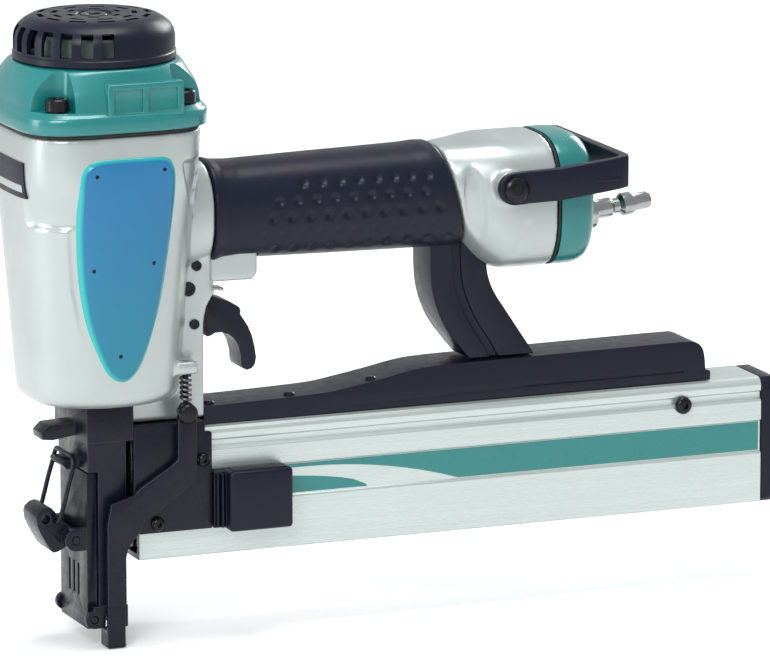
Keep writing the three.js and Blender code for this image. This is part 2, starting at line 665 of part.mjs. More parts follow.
function valveStem() {
  const foot = pivotZ - 2;
  return turned([[0, foot], [1.6, foot], [2, foot + 0.6], [2, stemFlangeZ], [4.3, stemFlangeZ],
    [4.3, stemFlangeZ + 1.6], [1.5, stemFlangeZ + 1.6], [1.5, stemFlangeZ + 5], [0, stemFlangeZ + 5]], 16);
}

function crossPin(radius, headed) {
  const half = webHalf;
  const head = headed + radius;
  return turned([[0, -half - 1], [head, -half - 1], [head, -half - seat], [radius, -half - seat],
    [radius, half + seat], [0, half + seat]], 16);
}

addPart('trigger', trigger(), darkPlastic);
addPart('trigger_arm', triggerArm(), brightSteel);
addPart('trigger_pin', crossPin(triggerPinRadius, pinHead), blackSteel,
  [pivotX, 0, pivotZ], [-Math.PI / 2, 0, 0]);
addPart('valve_body', valveBody(), bareAluminium, [valveX, 0, 0]);
addPart('valve_stem', valveStem(), brightSteel, [valveX, 0, 0]);
addPart('valve_spring', coilSpring(3, 0.5, stemFlangeZ + 1.9, valveTopZ - 0.6, 4), springSteel, [valveX, 0, 0]);
webPins.forEach(([x, z], k) => addPart(`web_pin_${k + 1}`, crossPin(pinRadius, 0.6), blackSteel,
  [x, 0, z], [-Math.PI / 2, 0, 0]));

// ---- Nose ----
const channelHalf = bladeHalf + 1.1;
const channelGap = 1.5;
const noseSideIn = channelHalf + 0.4;
const doorFrontX = -12;
const doorBackX = -7.4;
const doorTopZ = magazineTopZ - 17;
const hingeX = -9.8;
const hingeZ = muzzleZ + 4.8;
const lugOuterY = noseHalfWidth + 1.5;
const earZ = doorTopZ - 31;
const earX = doorFrontX - 5;
const earRadius = 5.2;
const earInner = 13.4;
const earOuter = 17.4;
const wireRadius = 1.1;
const wireBarZ = doorTopZ + 6.6;
const wireBarX = doorFrontX - 4.2;
const hookTopZ = wireBarZ - wireRadius - 0.9;
const wireFoot = [earX - 7, earZ + 8];
const noseBlockZ = magazineTopZ - 2;
const noseBackX = 6.5;
const contactTravel = 7;
const footFrontX = -4.2;
const footBackX = 4.5;
const doorSweep = 6;
const doorTopGap = 0.9;
const bailEdge = [-29.5, noseBlockZ + 3];

function noseBase() {
  const walls = [-1, 1].map((side) => block(-7, noseBackX, Math.min(side * noseSideIn, side * noseHalfWidth),
    Math.max(side * noseSideIn, side * noseHalfWidth), muzzleZ + 1, noseBlockZ + 1));
  const lugs = [-1, 1].map((side) => {
    const [a, b] = [side * (doorHalfWidth + 0.5), side * lugOuterY];
    return block(hingeX, noseBackX, Math.min(a, b), Math.max(a, b), muzzleZ + 0.6, hingeZ + 6)
      .add(rodY(4.2, Math.min(a, b), Math.max(a, b), hingeX, hingeZ));
  });
  let body = block(channelGap, noseBackX, -noseHalfWidth, noseHalfWidth, muzzleZ, magazineRise - 1.2)
    .add(block(-13, noseBackX + 3, -noseHalfWidth - 2, noseHalfWidth + 2, noseBlockZ, footZ - seat))
    .add(block(doorFrontX, -channelGap, -noseHalfWidth, noseHalfWidth, doorTopZ + doorTopGap, noseBlockZ + 1))
    .add(plateY([[doorFrontX + 1, hookTopZ - 4], [doorFrontX + 1, hookTopZ], [doorFrontX - 8, hookTopZ],
      [doorFrontX - 8.6, hookTopZ - 1.4], [doorFrontX - 6, hookTopZ - 4]], -8, 8))
    .add(plateY([[-12.5, noseBlockZ + 1], [-12.5, noseBlockZ + 7], [-26, noseBlockZ + 6.4], bailEdge,
      [-29, noseBlockZ], [-24, noseBlockZ - 0.6]], -6, 6));
  for (const wall of walls) body = body.add(wall);
  const sweep = rodY(doorSweep, -doorHalfWidth - seat, doorHalfWidth + seat, hingeX, hingeZ, 32);
  const footRoom = block(footFrontX - runningGap, footBackX + runningGap, -lugOuterY - 1, -channelHalf - 0.1,
    muzzleZ - 1, muzzleZ + contactTravel + runningGap);
  body = body.subtract(sweep);
  for (const lug of lugs) body = body.add(lug);
  body = body.subtract(footRoom);
  return body.subtract(block(-channelGap, channelGap, -channelHalf, channelHalf, muzzleZ - 1, footZ + 1))
    .subtract(rodY(pinRadius + pinGap, -lugOuterY - 1, lugOuterY + 1, hingeX, hingeZ, 16));
}

function noseDoor() {
  let body = block(doorFrontX, doorBackX, -doorHalfWidth, doorHalfWidth, muzzleZ, doorTopZ)
    .add(block(doorBackX - 1, -channelGap, -channelHalf, channelHalf, muzzleZ, doorTopZ));
  for (const side of [-1, 1]) {
    const [a, b] = [Math.min(side * earInner, side * earOuter), Math.max(side * earInner, side * earOuter)];
    body = body.add(rodY(earRadius, a, b, earX, earZ, 24))
      .add(block(earX, doorFrontX + 1, a, b, earZ - earRadius, earZ + earRadius));
  }
  const slotPitch = 6;
  for (let k = -1; k <= 1; k += 1) {
    const y = k * slotPitch;
    body = body.subtract(block(doorFrontX - 1, doorFrontX + 1.2, y - 1.3, y + 1.3, hingeZ + 9, hingeZ + 24));
  }
  return body.subtract(rodY(pinRadius + pinGap, -doorHalfWidth - 1, doorHalfWidth + 1, hingeX, hingeZ, 16))
    .subtract(rodY(pinRadius + pinGap, -earOuter - 1, earOuter + 1, earX, earZ, 16));
}

function doorLatch() {
  const outline = [[0, 4.3], [-9, 14.5], [-13, 14.5], [-16.5, 11], [-14.5, 3], [-8.4, -7], [-6, -6.6],
      [0, -4.3]];
  return plateY(around(outline, earX, earZ), -9, 9)
    .add(rodY(4.3, -earInner + runningGap, earInner - runningGap, earX, earZ, 24))
    .subtract(rodY(2.3, -10, 10, earX - 11.8, earZ + 9, 16))
    .subtract(rodY(wireRadius + runningGap, -10, 10, wireFoot[0], wireFoot[1], 16))
    .subtract(rodY(pinRadius + pinGap, -earOuter, earOuter, earX, earZ, 16));
}

function latchWire() {
  const [x, z] = wireFoot;
  const near = [[x, -6, z], [x, -9.5, z], [x + 0.2, -12, z + 0.6], [x + 1, -13.2, z + 3],
      [x + 4.5, -13.4, z + 16],
    [wireBarX - 0.4, -12.8, wireBarZ - 3.4], [wireBarX, -10.4, wireBarZ], [wireBarX, -5, wireBarZ]];
  const far = near.map(([u, v, w]) => [u, -v, w]).reverse();
  return wire([...near, ...far], wireRadius, 36);
}

addPart('nose_base', noseBase(), blackSteel);
addPart('nose_door', noseDoor(), blackSteel);
addPart('door_hinge_pin', rodY(pinRadius, -lugOuterY, lugOuterY, hingeX, hingeZ, 16), brightSteel);
addPart('door_latch', doorLatch(), blackSteel);
addPart('latch_pin', rodY(pinRadius, -earOuter - 0.6, earOuter + 0.6, earX, earZ, 16), brightSteel);
addPart('latch_wire', latchWire(), springSteel);

// ---- Contact trip ----
const armTopZ = footZ - 1.5;
const footOuterY = armInnerY + seat;
const boltZ = footZ - 6.4;

function contactArm() {
  const outline = [[-5, muzzleZ + 12], [4, muzzleZ + 12], [4, muzzleZ + 36], [10, muzzleZ + 42],
    [13, muzzleZ + 50],
    [springX + 5, footZ - 37], [springX + 5, armTopZ - 3], [springX + 2, armTopZ], [springX - 2, armTopZ],
    [springX - 4.2, armTopZ - 3], [springX - 4.2, footZ - 28], [8, muzzleZ + 63], [-3, muzzleZ + 60],
    [-5, muzzleZ + 50]];
  return plateY(outline, armOuterY, armInnerY)
    .add(rodZ(rodRadius, armTopZ - 2, lugZ + 2.5, springX, springY, 12).intersect(
      block(springX - 5, springX + 5, armOuterY - 1, armInnerY + 1, armTopZ - 1, lugZ + 5)))
    .subtract(rodY(2.9, armOuterY - 1, armInnerY + 1, springX, boltZ, 16));
}

function contactBolt() {
  return turned([[0, -1.6], [2.6, -1.6], [2.6, 2.7], [4.8, 2.7], [4.8, 4.6], [3.6, 6], [0, 6]], 20);
}

function contactFoot() {
  return block(footFrontX, footBackX, footOuterY, -lugOuterY - seat, 0, muzzleZ + 18)
    .add(block(footFrontX, footBackX, footOuterY, -channelHalf - runningGap, 0, muzzleZ - runningGap));
}

addPart('contact_arm', contactArm(), blackSteel);
addPart('contact_foot', contactFoot(), blackSteel);
addPart('contact_bolt', contactBolt(), brightSteel, [springX, armInnerY, boltZ], [Math.PI / 2, 0, 0]);
addPart('contact_spring', coilSpring(2.4, 0.55, armTopZ + seat, lugZ - seat, 5), springSteel,
  [springX, springY, 0]);

// ---- Magazine ----
const bracketX = noseBackX + 3 + seat;
const bracketBackX = webBackX + 1.4;
const bracketInner = magazineHalfWidth + runningGap;
const bracketOuter = noseHalfWidth + 2;
const coverX = webBackX + 0.8;
const coverZ = magazineTopZ + runningGap;
const coverEndX = magazineBackX - 25;
const coverHalf = 13;
const supportFootZ = magazineTopZ + 20;
const supportHalf = 11;

function magazineBracket() {
  const low = magazineRise + 13.5;
  const outer = block(bracketX, bracketBackX, -bracketOuter, bracketOuter, low, magazineTopZ + 4);
  const inside = block(bracketX - 1, bracketBackX + 1, -bracketInner, bracketInner, low - 1,
    magazineTopZ + runningGap);
  const rearTop = block(webBackX - 2, bracketBackX + 1, -bracketOuter - 1, bracketOuter + 1, magazineTopZ - 1.5,
    magazineTopZ + 5);
  return outer.subtract(inside).subtract(rearTop);
}

function magazineProfile() {
  const [w, z, top] = [magazineHalfWidth, magazineRise, magazineTopZ];
  const side = [[w, z], [w, z + 24], [w - 1.1, z + 25.2], [w - 1.1, z + 39], [w, z + 40.4], [w, top - 11],
    [w - 1.4, top - 9.5], [w - 1.4, top - 7], [w - 0.4, top - 6], [w - 0.4, top - 3.4], [w - 3.4, top]];
  return [...side, ...side.map(([y, h]) => [-y, h]).reverse()];
}

const magazineInner = magazineHalfWidth - 1.1 - magazineWall;

function magazineBody() {
  const inner = magazineInner;
  return barX(magazineProfile(), magazineX, magazineBackX)
    .subtract(block(magazineX - 1, magazineBackX + 1, -inner, inner, magazineRise + magazineWall,
      magazineTopZ - magazineWall));
}

function magazineCover() {
  const [x0, x1, z] = [coverX, coverEndX, coverZ];
  const rise = supportFootZ - seat - z;
  return plateY([[x0, z], [x1, z], [x1, z + 6], [x1 - 4, z + rise * 0.8], [x1 - 10, z + rise],
    [x0 + 115, z + rise - 1.4], [x0 + 102, z + rise - 4.4], [x0 + 60, z + rise - 9.6], [x0, z + rise - 11]],
    -coverHalf, coverHalf);
}

const railHalf = crownWidth / 2 - wireThickness - 0.6;
const railTopZ = magazineTopZ - magazineWall - crownRoom;

function stapleRail() {
  const [w, low, top] = [railHalf, magazineRise + 5.5, railTopZ];
  const wall = 1.4;
  return barX([[-w, low], [-w, top], [w, top], [w, low], [w - wall, low], [w - wall, top - wall],
    [-w + wall, top - wall], [-w + wall, low]], noseBackX + 1, magazineBackX - 18);
}

function pusher() {
  const w = railHalf + 0.35;
  const outer = magazineInner - 0.35;
  const [low, top] = [magazineRise + 5, railTopZ + 0.4];
  const high = magazineTopZ - magazineWall - 0.5;
  const outline = [[-outer, low], [-outer, high], [outer, high], [outer, low], [w, low], [w, top], [-w, top],
    [-w, low]];
  return barX(outline, magazineX + 18, magazineX + 36);
}

function magazineLatch() {
  const [x0, inner, outer] = [bracketBackX + 0.6, -bracketInner - 0.6, -bracketInner - 13];
  return slabZ([[x0, inner], [x0 + 35, inner], [x0 + 36.5, inner - 2], [x0 + 36.5, outer + 3],
      [x0 + 34.5, outer],
    [x0 + 6.5, outer], [x0 + 5, outer + 3], [x0 + 5, inner - 4.4], [x0, inner - 4.4]],
    magazineRise + 12.5, magazineRise + 41);
}

function supportBracket() {
  const foot = supportFootZ;
  const outline = [[gripEndX - 10, handleZ - 24], [gripEndX - 9.5, foot + 36], [gripEndX - 4, foot + 20],
    [gripEndX + 10, foot], [gripEndX + 43, foot], [gripEndX + 31, foot + 18], [gripEndX + 21, foot + 33],
    [gripEndX + 18.5, handleZ - 26]];
  const clearOf = lengthwise(endSections.map(([x, z, h, w, p], k) => [k ? x : x - 1, z, h, w, p]), 0.4)
    .add(lengthwise([[gripX, handleZ, gripHalfHeight + 1.8, gripHalfWidth + 1.5, 2.5],
      [gripEndX + 1, handleZ, gripHalfHeight + 1.8, gripHalfWidth + 1.5, 2.5]]));
  return plateY(outline, -supportHalf, supportHalf).subtract(clearOf);
}

function magazineEndCap() {
  const [w, low, top] = [magazineHalfWidth + 0.4, magazineRise - 0.2, magazineTopZ];
  const outline = [[-w, low + 2], [-w + 2, low], [w - 2, low], [w, low + 2], [w, top - 5], [w - 4, top],
    [-w + 4, top], [-w, top - 5]];
  return barX(outline, magazineBackX + seat, magazineBackX + 8);
}

const sideScrew = (radius) => turned([[0, 0], [radius, 0], [radius, 1.4], [radius * 0.75, 2.6], [0, 2.6]], 18)
  .subtract(rodZ(radius * 0.45, 1.2, 3, 0, 0, 6));
const bracketScrews = [[springX + 9.5, magazineTopZ - 14], [21, magazineRise + 18]];
addPart('magazine_bracket', magazineBracket(), blackSteel);
addPart('magazine_body', magazineBody(), satinAluminium);
addPart('magazine_cover', magazineCover(), darkPlastic);
addPart('magazine_end_cap', magazineEndCap(), darkPlastic);
addPart('magazine_latch', magazineLatch(), darkPlastic);
addPart('magazine_screw', sideScrew(4.2), blackSteel,
  [magazineBackX - 41, -magazineHalfWidth - seat, magazineTopZ - 10], [Math.PI / 2, 0, 0]);
bracketScrews.forEach(([x, z], k) => addPart(`bracket_screw_${k + 1}`, sideScrew(3.3), blackSteel,
  [x, -bracketOuter - seat, z], [Math.PI / 2, 0, 0]));
addPart('staple_rail', stapleRail(), brightSteel);
addPart('pusher', pusher(), springSteel);
addPart('support_bracket', supportBracket(), darkPlastic);

export default tool;
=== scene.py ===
import json
import math

import bmesh
import bpy
import numpy as np
from mathutils import Matrix, Vector


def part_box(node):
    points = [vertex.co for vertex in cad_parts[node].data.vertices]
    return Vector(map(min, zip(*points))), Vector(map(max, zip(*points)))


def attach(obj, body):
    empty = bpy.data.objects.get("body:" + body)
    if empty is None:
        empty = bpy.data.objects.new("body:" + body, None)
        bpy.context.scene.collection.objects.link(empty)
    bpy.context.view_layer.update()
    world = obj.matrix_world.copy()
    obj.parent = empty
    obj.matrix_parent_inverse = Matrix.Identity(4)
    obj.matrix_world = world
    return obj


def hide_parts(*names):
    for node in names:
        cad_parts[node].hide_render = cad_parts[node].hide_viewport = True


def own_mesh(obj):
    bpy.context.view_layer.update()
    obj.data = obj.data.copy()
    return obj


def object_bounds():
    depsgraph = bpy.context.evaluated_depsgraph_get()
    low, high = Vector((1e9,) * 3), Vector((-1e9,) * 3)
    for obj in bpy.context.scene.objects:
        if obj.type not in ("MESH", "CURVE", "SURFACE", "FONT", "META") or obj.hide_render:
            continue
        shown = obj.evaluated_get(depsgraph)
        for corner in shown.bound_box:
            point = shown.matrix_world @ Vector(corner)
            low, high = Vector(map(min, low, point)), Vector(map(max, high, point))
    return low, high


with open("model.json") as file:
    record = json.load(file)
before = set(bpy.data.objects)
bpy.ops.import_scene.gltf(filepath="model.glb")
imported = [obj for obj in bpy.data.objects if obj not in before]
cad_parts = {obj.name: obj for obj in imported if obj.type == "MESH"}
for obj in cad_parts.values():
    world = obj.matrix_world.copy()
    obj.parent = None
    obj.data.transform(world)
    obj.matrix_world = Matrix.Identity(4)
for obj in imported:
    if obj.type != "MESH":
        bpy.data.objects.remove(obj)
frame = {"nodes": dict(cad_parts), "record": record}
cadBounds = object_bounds()
shownNodes = frame["nodes"]
print("frame loaded:", len(shownNodes), "nodes")

mm = 0.001

# Room and camera: sizes in millimetres and degrees
studio = {
    "aim": (139.5, -0.3, 125.8),
    "turn": 22.26,
    "tilt": 11.85,
    "distance": 3322.0,
    "lens": 332.2,
    "floorSize": 2400.0,
    "floorGap": 0.4,
    "worldLight": 0.62,
    "worldSeen": 1.15,
}


def nodeBox(node):
    low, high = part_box(node)
    return low / mm, high / mm


def centreOf(node):
    return [(low + high) / 2 for low, high in zip(*nodeBox(node))]


def linked(name, data):
    made = bpy.data.objects.new(name, data)
    bpy.context.scene.collection.objects.link(made)
    return made


def fill(node, values):
    for name, value in values.items():
        node.inputs[name].default_value = value
    return node


def setUpCamera():
    turn, tilt = math.radians(studio["turn"]), math.radians(studio["tilt"])
    look = Vector((math.sin(turn) * math.cos(tilt), math.cos(turn) * math.cos(tilt), -math.sin(tilt)))
    data = bpy.data.cameras.new("camera")
    data.lens = studio["lens"]
    data.sensor_width = 36
    data.clip_end = 50
    camera = linked("camera", data)
    camera.location = (Vector(studio["aim"]) - look * studio["distance"]) * mm
    camera.rotation_euler = look.to_track_quat("-Z", "Y").to_euler()
    bpy.context.scene.camera = camera


def areaLight(name, place, size, power):
    data = bpy.data.lights.new(name, "AREA")
    data.energy = power
    data.shape = "RECTANGLE"
    data.size, data.size_y = size[0] * mm, size[1] * mm
    light = linked(name, data)
    light.location = Vector(place) * mm
    aim = Vector(studio["aim"]) * mm
    light.rotation_euler = (aim - light.location).to_track_quat("-Z", "Y").to_euler()


def setUpRoom():
    bpy.context.scene.view_settings.view_transform = "Standard"
    world = bpy.data.worlds.new("softWorld")
    bpy.context.scene.world = world
    world.use_nodes = True
    nodes, links = world.node_tree.nodes, world.node_tree.links
    background = fill(nodes["Background"], {"Color": (0.93, 0.95, 0.97, 1)})
    strength = fill(nodes.new("ShaderNodeMapRange"),
                    {"To Min": studio["worldLight"], "To Max": studio["worldSeen"]})
    links.new(nodes.new("ShaderNodeLightPath").outputs["Is Camera Ray"], strength.inputs["Value"])
    links.new(strength.outputs["Result"], background.inputs["Strength"])
    areaLight("keyLight", (-900, -1300, 1200), (800, 800), 22)
    areaLight("sideLight", (-1400, 100, 500), (500, 1100), 10)
    areaLight("rearLight", (1400, 900, 900), (800, 600), 14)
    areaLight("topLight", (150, -100, 1600), (900, 700), 14)
    half = studio["floorSize"] / 2
    lowest = cadBounds[0][2] / mm - studio["floorGap"]
    mesh = bpy.data.meshes.new("floor")
    corners = [(-half, -half), (half, -half), (half, half), (-half, half)]
    mesh.from_pydata([(x * mm, y * mm, lowest * mm) for x, y in corners], [], [(0, 1, 2, 3)])
    floor = linked("floor", mesh)
    paper = bpy.data.materials.new("paleFloor")
    paper.use_nodes = True
    fill(paper.node_tree.nodes["Principled BSDF"], {"Base Color": (0.9, 0.9, 0.9, 1), "Roughness": 0.9})
    mesh.materials.append(paper)


setUpCamera()
setUpRoom()
print("camera and room ready")


# Finishes. Each has a patchy colour, a patchy roughness and a fine grain that stands up as bump.
def finish(name, colours, roughness, metallic=0.0, patch=60.0, grain=900.0, bump=0.15, coat=0.0,
           coatRoughness=0.1, stretch=(1, 1, 1), edgeHighlight=None, fades=(), specular=0.5):
    material = bpy.data.materials.new(name)
    material.use_nodes = True
    nodes, links = material.node_tree.nodes, material.node_tree.links
    shader = fill(nodes["Principled BSDF"], {"Metallic": metallic, "Coat Weight": coat,
                                             "Coat Roughness": coatRoughness, "Specular IOR Level": specular})
    place = nodes.new("ShaderNodeTexCoord")
    mapping = fill(nodes.new("ShaderNodeMapping"), {"Scale": stretch})
    links.new(place.outputs["Object"], mapping.inputs["Vector"])

    def noise(scale, detail=3.0):
        node = fill(nodes.new("ShaderNodeTexNoise"), {"Scale": scale, "Detail": detail})
        links.new(mapping.outputs["Vector"], node.inputs["Vector"])
        return node.outputs["Fac"]

    def blendOf(factor, first, second):
        mix = nodes.new("ShaderNodeMix")
        mix.data_type = "RGBA"
        links.new(factor, mix.inputs["Factor"])
        for socket, value in ((mix.inputs["A"], first), (mix.inputs["B"], second)):
            if isinstance(value, tuple):
                socket.default_value = (*value, 1)
            else:
                links.new(value, socket)
        return mix.outputs["Result"]

    patches = noise(patch)
    colour = blendOf(patches, colours[0], colours[1])
    for fade in fades:
        along = fill(nodes.new("ShaderNodeMapRange"), {"From Min": fade["start"], "From Max": fade["end"]})
        if "attribute" in fade:
            source = nodes.new("ShaderNodeAttribute")
            source.attribute_name = fade["attribute"]
            links.new(source.outputs["Fac"], along.inputs["Value"])
        else:
            split = nodes.new("ShaderNodeSeparateXYZ")
            links.new(place.outputs["Object"], split.inputs["Vector"])
            links.new(split.outputs[fade["axis"]], along.inputs["Value"])
        colour = blendOf(along.outputs["Result"], colour, fade["colour"])
    # Painted highlight: a lighter colour along the edges stands in for light caught on them.
    if edgeHighlight:
        colour = blendOf(edgeMask(nodes, links, edgeHighlight["width"], patches), colour, edgeHighlight["colour"])
    links.new(colour, shader.inputs["Base Color"])
    spread = fill(nodes.new("ShaderNodeMapRange"), {"From Min": 0.3, "From Max": 0.7, "To Min": roughness[0],
                                                    "To Max": roughness[1]})
    links.new(noise(patch * 3), spread.inputs["Value"])
    links.new(spread.outputs["Result"], shader.inputs["Roughness"])
    bumps = fill(nodes.new("ShaderNodeBump"), {"Strength": bump, "Distance": 0.1 * mm})
    links.new(noise(grain, 2.0), bumps.inputs["Height"])
    links.new(bumps.outputs["Normal"], shader.inputs["Normal"])
    return material


# A mask that is white along convex and concave edges, broken up by the patches; it places a painted highlight
# along the edges.
def edgeMask(nodes, links, width, patches):
    rounded = fill(nodes.new("ShaderNodeBevel"), {"Radius": width * mm})
    rounded.samples = 4
    plain = nodes.new("ShaderNodeNewGeometry")
    dot = nodes.new("ShaderNodeVectorMath")
    dot.operation = "DOT_PRODUCT"
    links.new(rounded.outputs["Normal"], dot.inputs[0])
    links.new(plain.outputs["Normal"], dot.inputs[1])
    edge = fill(nodes.new("ShaderNodeMapRange"), {"From Min": 0.995, "From Max": 0.9})
    links.new(dot.outputs["Value"], edge.inputs["Value"])
    broken = nodes.new("ShaderNodeMath")
    broken.operation = "MULTIPLY"
    links.new(edge.outputs["Result"], broken.inputs[0])
    links.new(patches, broken.inputs[1])
    return broken.outputs["Value"]


silverPaint = finish("silverPaint", ((0.37, 0.415, 0.405), (0.43, 0.475, 0.465)), (0.28, 0.38), metallic=0.55,
                     patch=35, grain=1500, bump=0.12, coat=0.25, coatRoughness=0.25)
tealPaint = finish("tealPaint", ((0.003, 0.15, 0.15), (0.005, 0.18, 0.175)), (0.26, 0.36), metallic=0.12,
                   patch=45, grain=1400, bump=0.1, coat=0.5, coatRoughness=0.15)
darkPlastic = finish("darkPlastic", ((0.0035, 0.005, 0.014), (0.005, 0.007, 0.018)), (0.28, 0.4),
                     specular=0.24, patch=70, grain=1800, bump=0.3)
# Black steel carries a painted highlight: a lighter colour along all its edges.
blackSteel = finish("blackSteel", ((0.003, 0.004, 0.011), (0.006, 0.0075, 0.016)), (0.24, 0.38),
                    metallic=0.1, specular=0.28, patch=90, grain=1600, bump=0.2,
                    edgeHighlight={"width": 0.5, "colour": (0.1, 0.11, 0.14)})
screwSteel = finish("screwSteel", ((0.005, 0.005, 0.008), (0.014, 0.015, 0.02)), (0.2, 0.32), metallic=0.6,
                    patch=300, grain=2500, bump=0.1)
gripRubber = finish("gripRubber", ((0.003, 0.0045, 0.014), (0.0045, 0.0065, 0.018)), (0.32, 0.42),
                    patch=50, grain=2600, bump=0.35, specular=0.26)
sealRubber = finish("sealRubber", ((0.006, 0.006, 0.007), (0.012, 0.012, 0.013)), (0.6, 0.75), grain=1500,
                    bump=0.3)
brightSteel = finish("brightSteel", ((0.3, 0.31, 0.31), (0.4, 0.41, 0.41)), (0.14, 0.26), metallic=1.0,
                     patch=200, grain=900, bump=0.08, stretch=(1, 1, 6))
springSteel = finish("springSteel", ((0.10, 0.10, 0.115), (0.17, 0.17, 0.18)), (0.25, 0.36), metallic=0.9,
                     patch=250, grain=1500, bump=0.08)
turnedAluminium = finish("turnedAluminium", ((0.56, 0.57, 0.57), (0.66, 0.67, 0.67)), (0.25, 0.4),
                         metallic=1.0, patch=80, grain=700, bump=0.12, stretch=(1, 1, 14))
print("finishes ready")


# Mesh helpers. Shapes are drawn in millimetres and set down in metres.
def newObject(name, points, faces, smoothAngle=35):
    mesh = bpy.data.meshes.new(name)
    mesh.from_pydata([(x * mm, y * mm, z * mm) for x, y, z in points], [], faces)
    made = linked(name, mesh)
    tidyMesh(made, smoothAngle)
    return made


def tidyMesh(piece, smoothAngle):
    work = bmesh.new()
    work.from_mesh(piece.data)
    bmesh.ops.remove_doubles(work, verts=work.verts, dist=0.001 * mm)
    bmesh.ops.recalc_face_normals(work, faces=work.faces)
    work.to_mesh(piece.data)
    work.free()
    shadeSmooth(piece, smoothAngle)


def shadeSmooth(piece, angle=35):
    mesh = piece.data
    mesh.shade_smooth()
    mesh.set_sharp_from_angle(angle=math.radians(angle))


def applyAll(piece):
    bpy.context.view_layer.update()
    solved = piece.evaluated_get(bpy.context.evaluated_depsgraph_get())
    finished = bpy.data.meshes.new_from_object(solved)
    old = piece.data
    piece.modifiers.clear()
    piece.data = finished
    bpy.data.meshes.remove(old)


def bevel(piece, width, segments=3, angle=35):
    edge = piece.modifiers.new("bevel", "BEVEL")
    edge.width = width * mm
    edge.segments = segments
    edge.limit_method = "ANGLE"
    edge.angle_limit = math.radians(angle)
    edge.harden_normals = False
    applyAll(piece)
    shadeSmooth(piece, 40)
    return piece


def cut(piece, cutters, operation="DIFFERENCE"):
    for tool in cutters:
        boolean = piece.modifiers.new("cut", "BOOLEAN")
        boolean.operation = operation
        boolean.solver = "EXACT"
        boolean.object = tool
    applyAll(piece)
    for tool in cutters:
        bpy.data.objects.remove(tool)
    return piece


def joined(name, pieces):
    work = bmesh.new()
    for piece in pieces:
        work.from_mesh(piece.data)
        bpy.data.objects.remove(piece)
    mesh = bpy.data.meshes.new(name)
    work.to_mesh(mesh)
    work.free()
    return linked(name, mesh)


# Runs overlapping solids together as one casting with soft corners.
def cast(piece, grain, rounds):
    fuse = piece.modifiers.new("fuse", "REMESH")
    fuse.mode = "VOXEL"
    fuse.voxel_size = grain * mm
    soften = piece.modifiers.new("soften", "SMOOTH")
    soften.factor = 0.5
    soften.iterations = rounds
    applyAll(piece)
    shadeSmooth(piece, 60)
    return piece


def box(low, high, name="box"):
    (x0, y0, z0), (x1, y1, z1) = low, high
    points = [(x, y, z) for x in (x0, x1) for y in (y0, y1) for z in (z0, z1)]
    faces = [(0, 1, 3, 2), (4, 6, 7, 5), (0, 4, 5, 1), (2, 3, 7, 6), (0, 2, 6, 4), (1, 5, 7, 3)]
    return newObject(name, points, faces)


# A closed skin over rings of points that each have the same count.
def skin(rings, name="skin", smoothAngle=35, closed=False):
    count = len(rings[0])
    points = [tuple(p) for ring in rings for p in ring]
    faces = []
    last = len(rings) if closed else len(rings) - 1
    for k in range(last):
        low, high = k * count, (k + 1) % len(rings) * count
        for i in range(count):
            j = (i + 1) % count
            faces.append((low + i, low + j, high + j, high + i))
    if not closed:
        faces.append(tuple(range(count))[::-1])
        faces.append(tuple(range(len(points) - count, len(points))))
    return newObject(name, points, faces, smoothAngle)


def roundedRing(halfU, halfV, power, count):
    ring = []
    for i in range(count):
        angle = 2 * math.pi * i / count
        c, s = math.cos(angle), math.sin(angle)
        reach = (abs(c) ** power + abs(s) ** power) ** (-1 / power)
        ring.append((c * reach * halfU, s * reach * halfV))
    return ring


# Values between rows of numbers, on a smooth curve through them.
def smoothRows(rows, steps):
    rows = np.array(rows, float)
    padded = np.vstack([2 * rows[0] - rows[1], rows, 2 * rows[-1] - rows[-2]])
    result = []
    for k in range(len(rows) - 1):
        a, b, c, d = padded[k:k + 4]
        for i in range(steps):
            t = i / steps
            result.append(0.5 * (2 * b + (c - a) * t + (2 * a - 5 * b + 4 * c - d) * t ** 2
                                 + (3 * b - a - 3 * c + d) * t ** 3))
    result.append(rows[-1])
    return result


def turned(profile, centre=(0, 0, 0), sides=64, axis="z", name="turned", smoothAngle=35):
    rings = []
    for i in range(sides):
        angle = 2 * math.pi * i / sides
        c, s = math.cos(angle), math.sin(angle)
        rings.append([{"z": (r * c, r * s, h), "y": (r * s, h, r * c), "x": (h, r * c, r * s)}[axis]
                      for r, h in profile])
    points = [tuple(np.add(p, centre)) for ring in rings for p in ring]
    count = len(profile)
    faces = []
    for k in range(sides):
        low, high = k * count, (k + 1) % sides * count
        faces += [(low + i, low + i + 1, high + i + 1, high + i) for i in range(count - 1)]
    return newObject(name, points, faces, smoothAngle)


def rod(radius, low, high, centre, axis="z", sides=48):
    return turned([(0, low), (radius, low), (radius, high), (0, high)], centre, sides, axis)


# A plate with its outline in X and Z.
def plate(outline, y0, y1, name="plate"):
    return skin([[(u, y, w) for u, w in outline] for y in (y0, y1)], name)


# A plate with its outline in X and Y.
def slab(outline, z0, z1, name="slab"):
    return skin([[(u, v, z) for u, v in outline] for z in (z0, z1)], name)


# A copy of a node's own mesh with its edges broken, for machined and moulded pieces.
def edged(node, width, material, segments=2, angle=30):
    piece = linked(node + "_finished", shownNodes[node].data.copy())
    piece.data.materials.clear()
    work = bmesh.new()
    work.from_mesh(piece.data)
    bmesh.ops.remove_doubles(work, verts=work.verts, dist=0.002 * mm)
    bmesh.ops.dissolve_limit(work, angle_limit=math.radians(1.5), verts=work.verts, edges=work.edges)
    work.to_mesh(piece.data)
    work.free()
    bevel(piece, width, segments, angle)
    settle(piece, material, node)


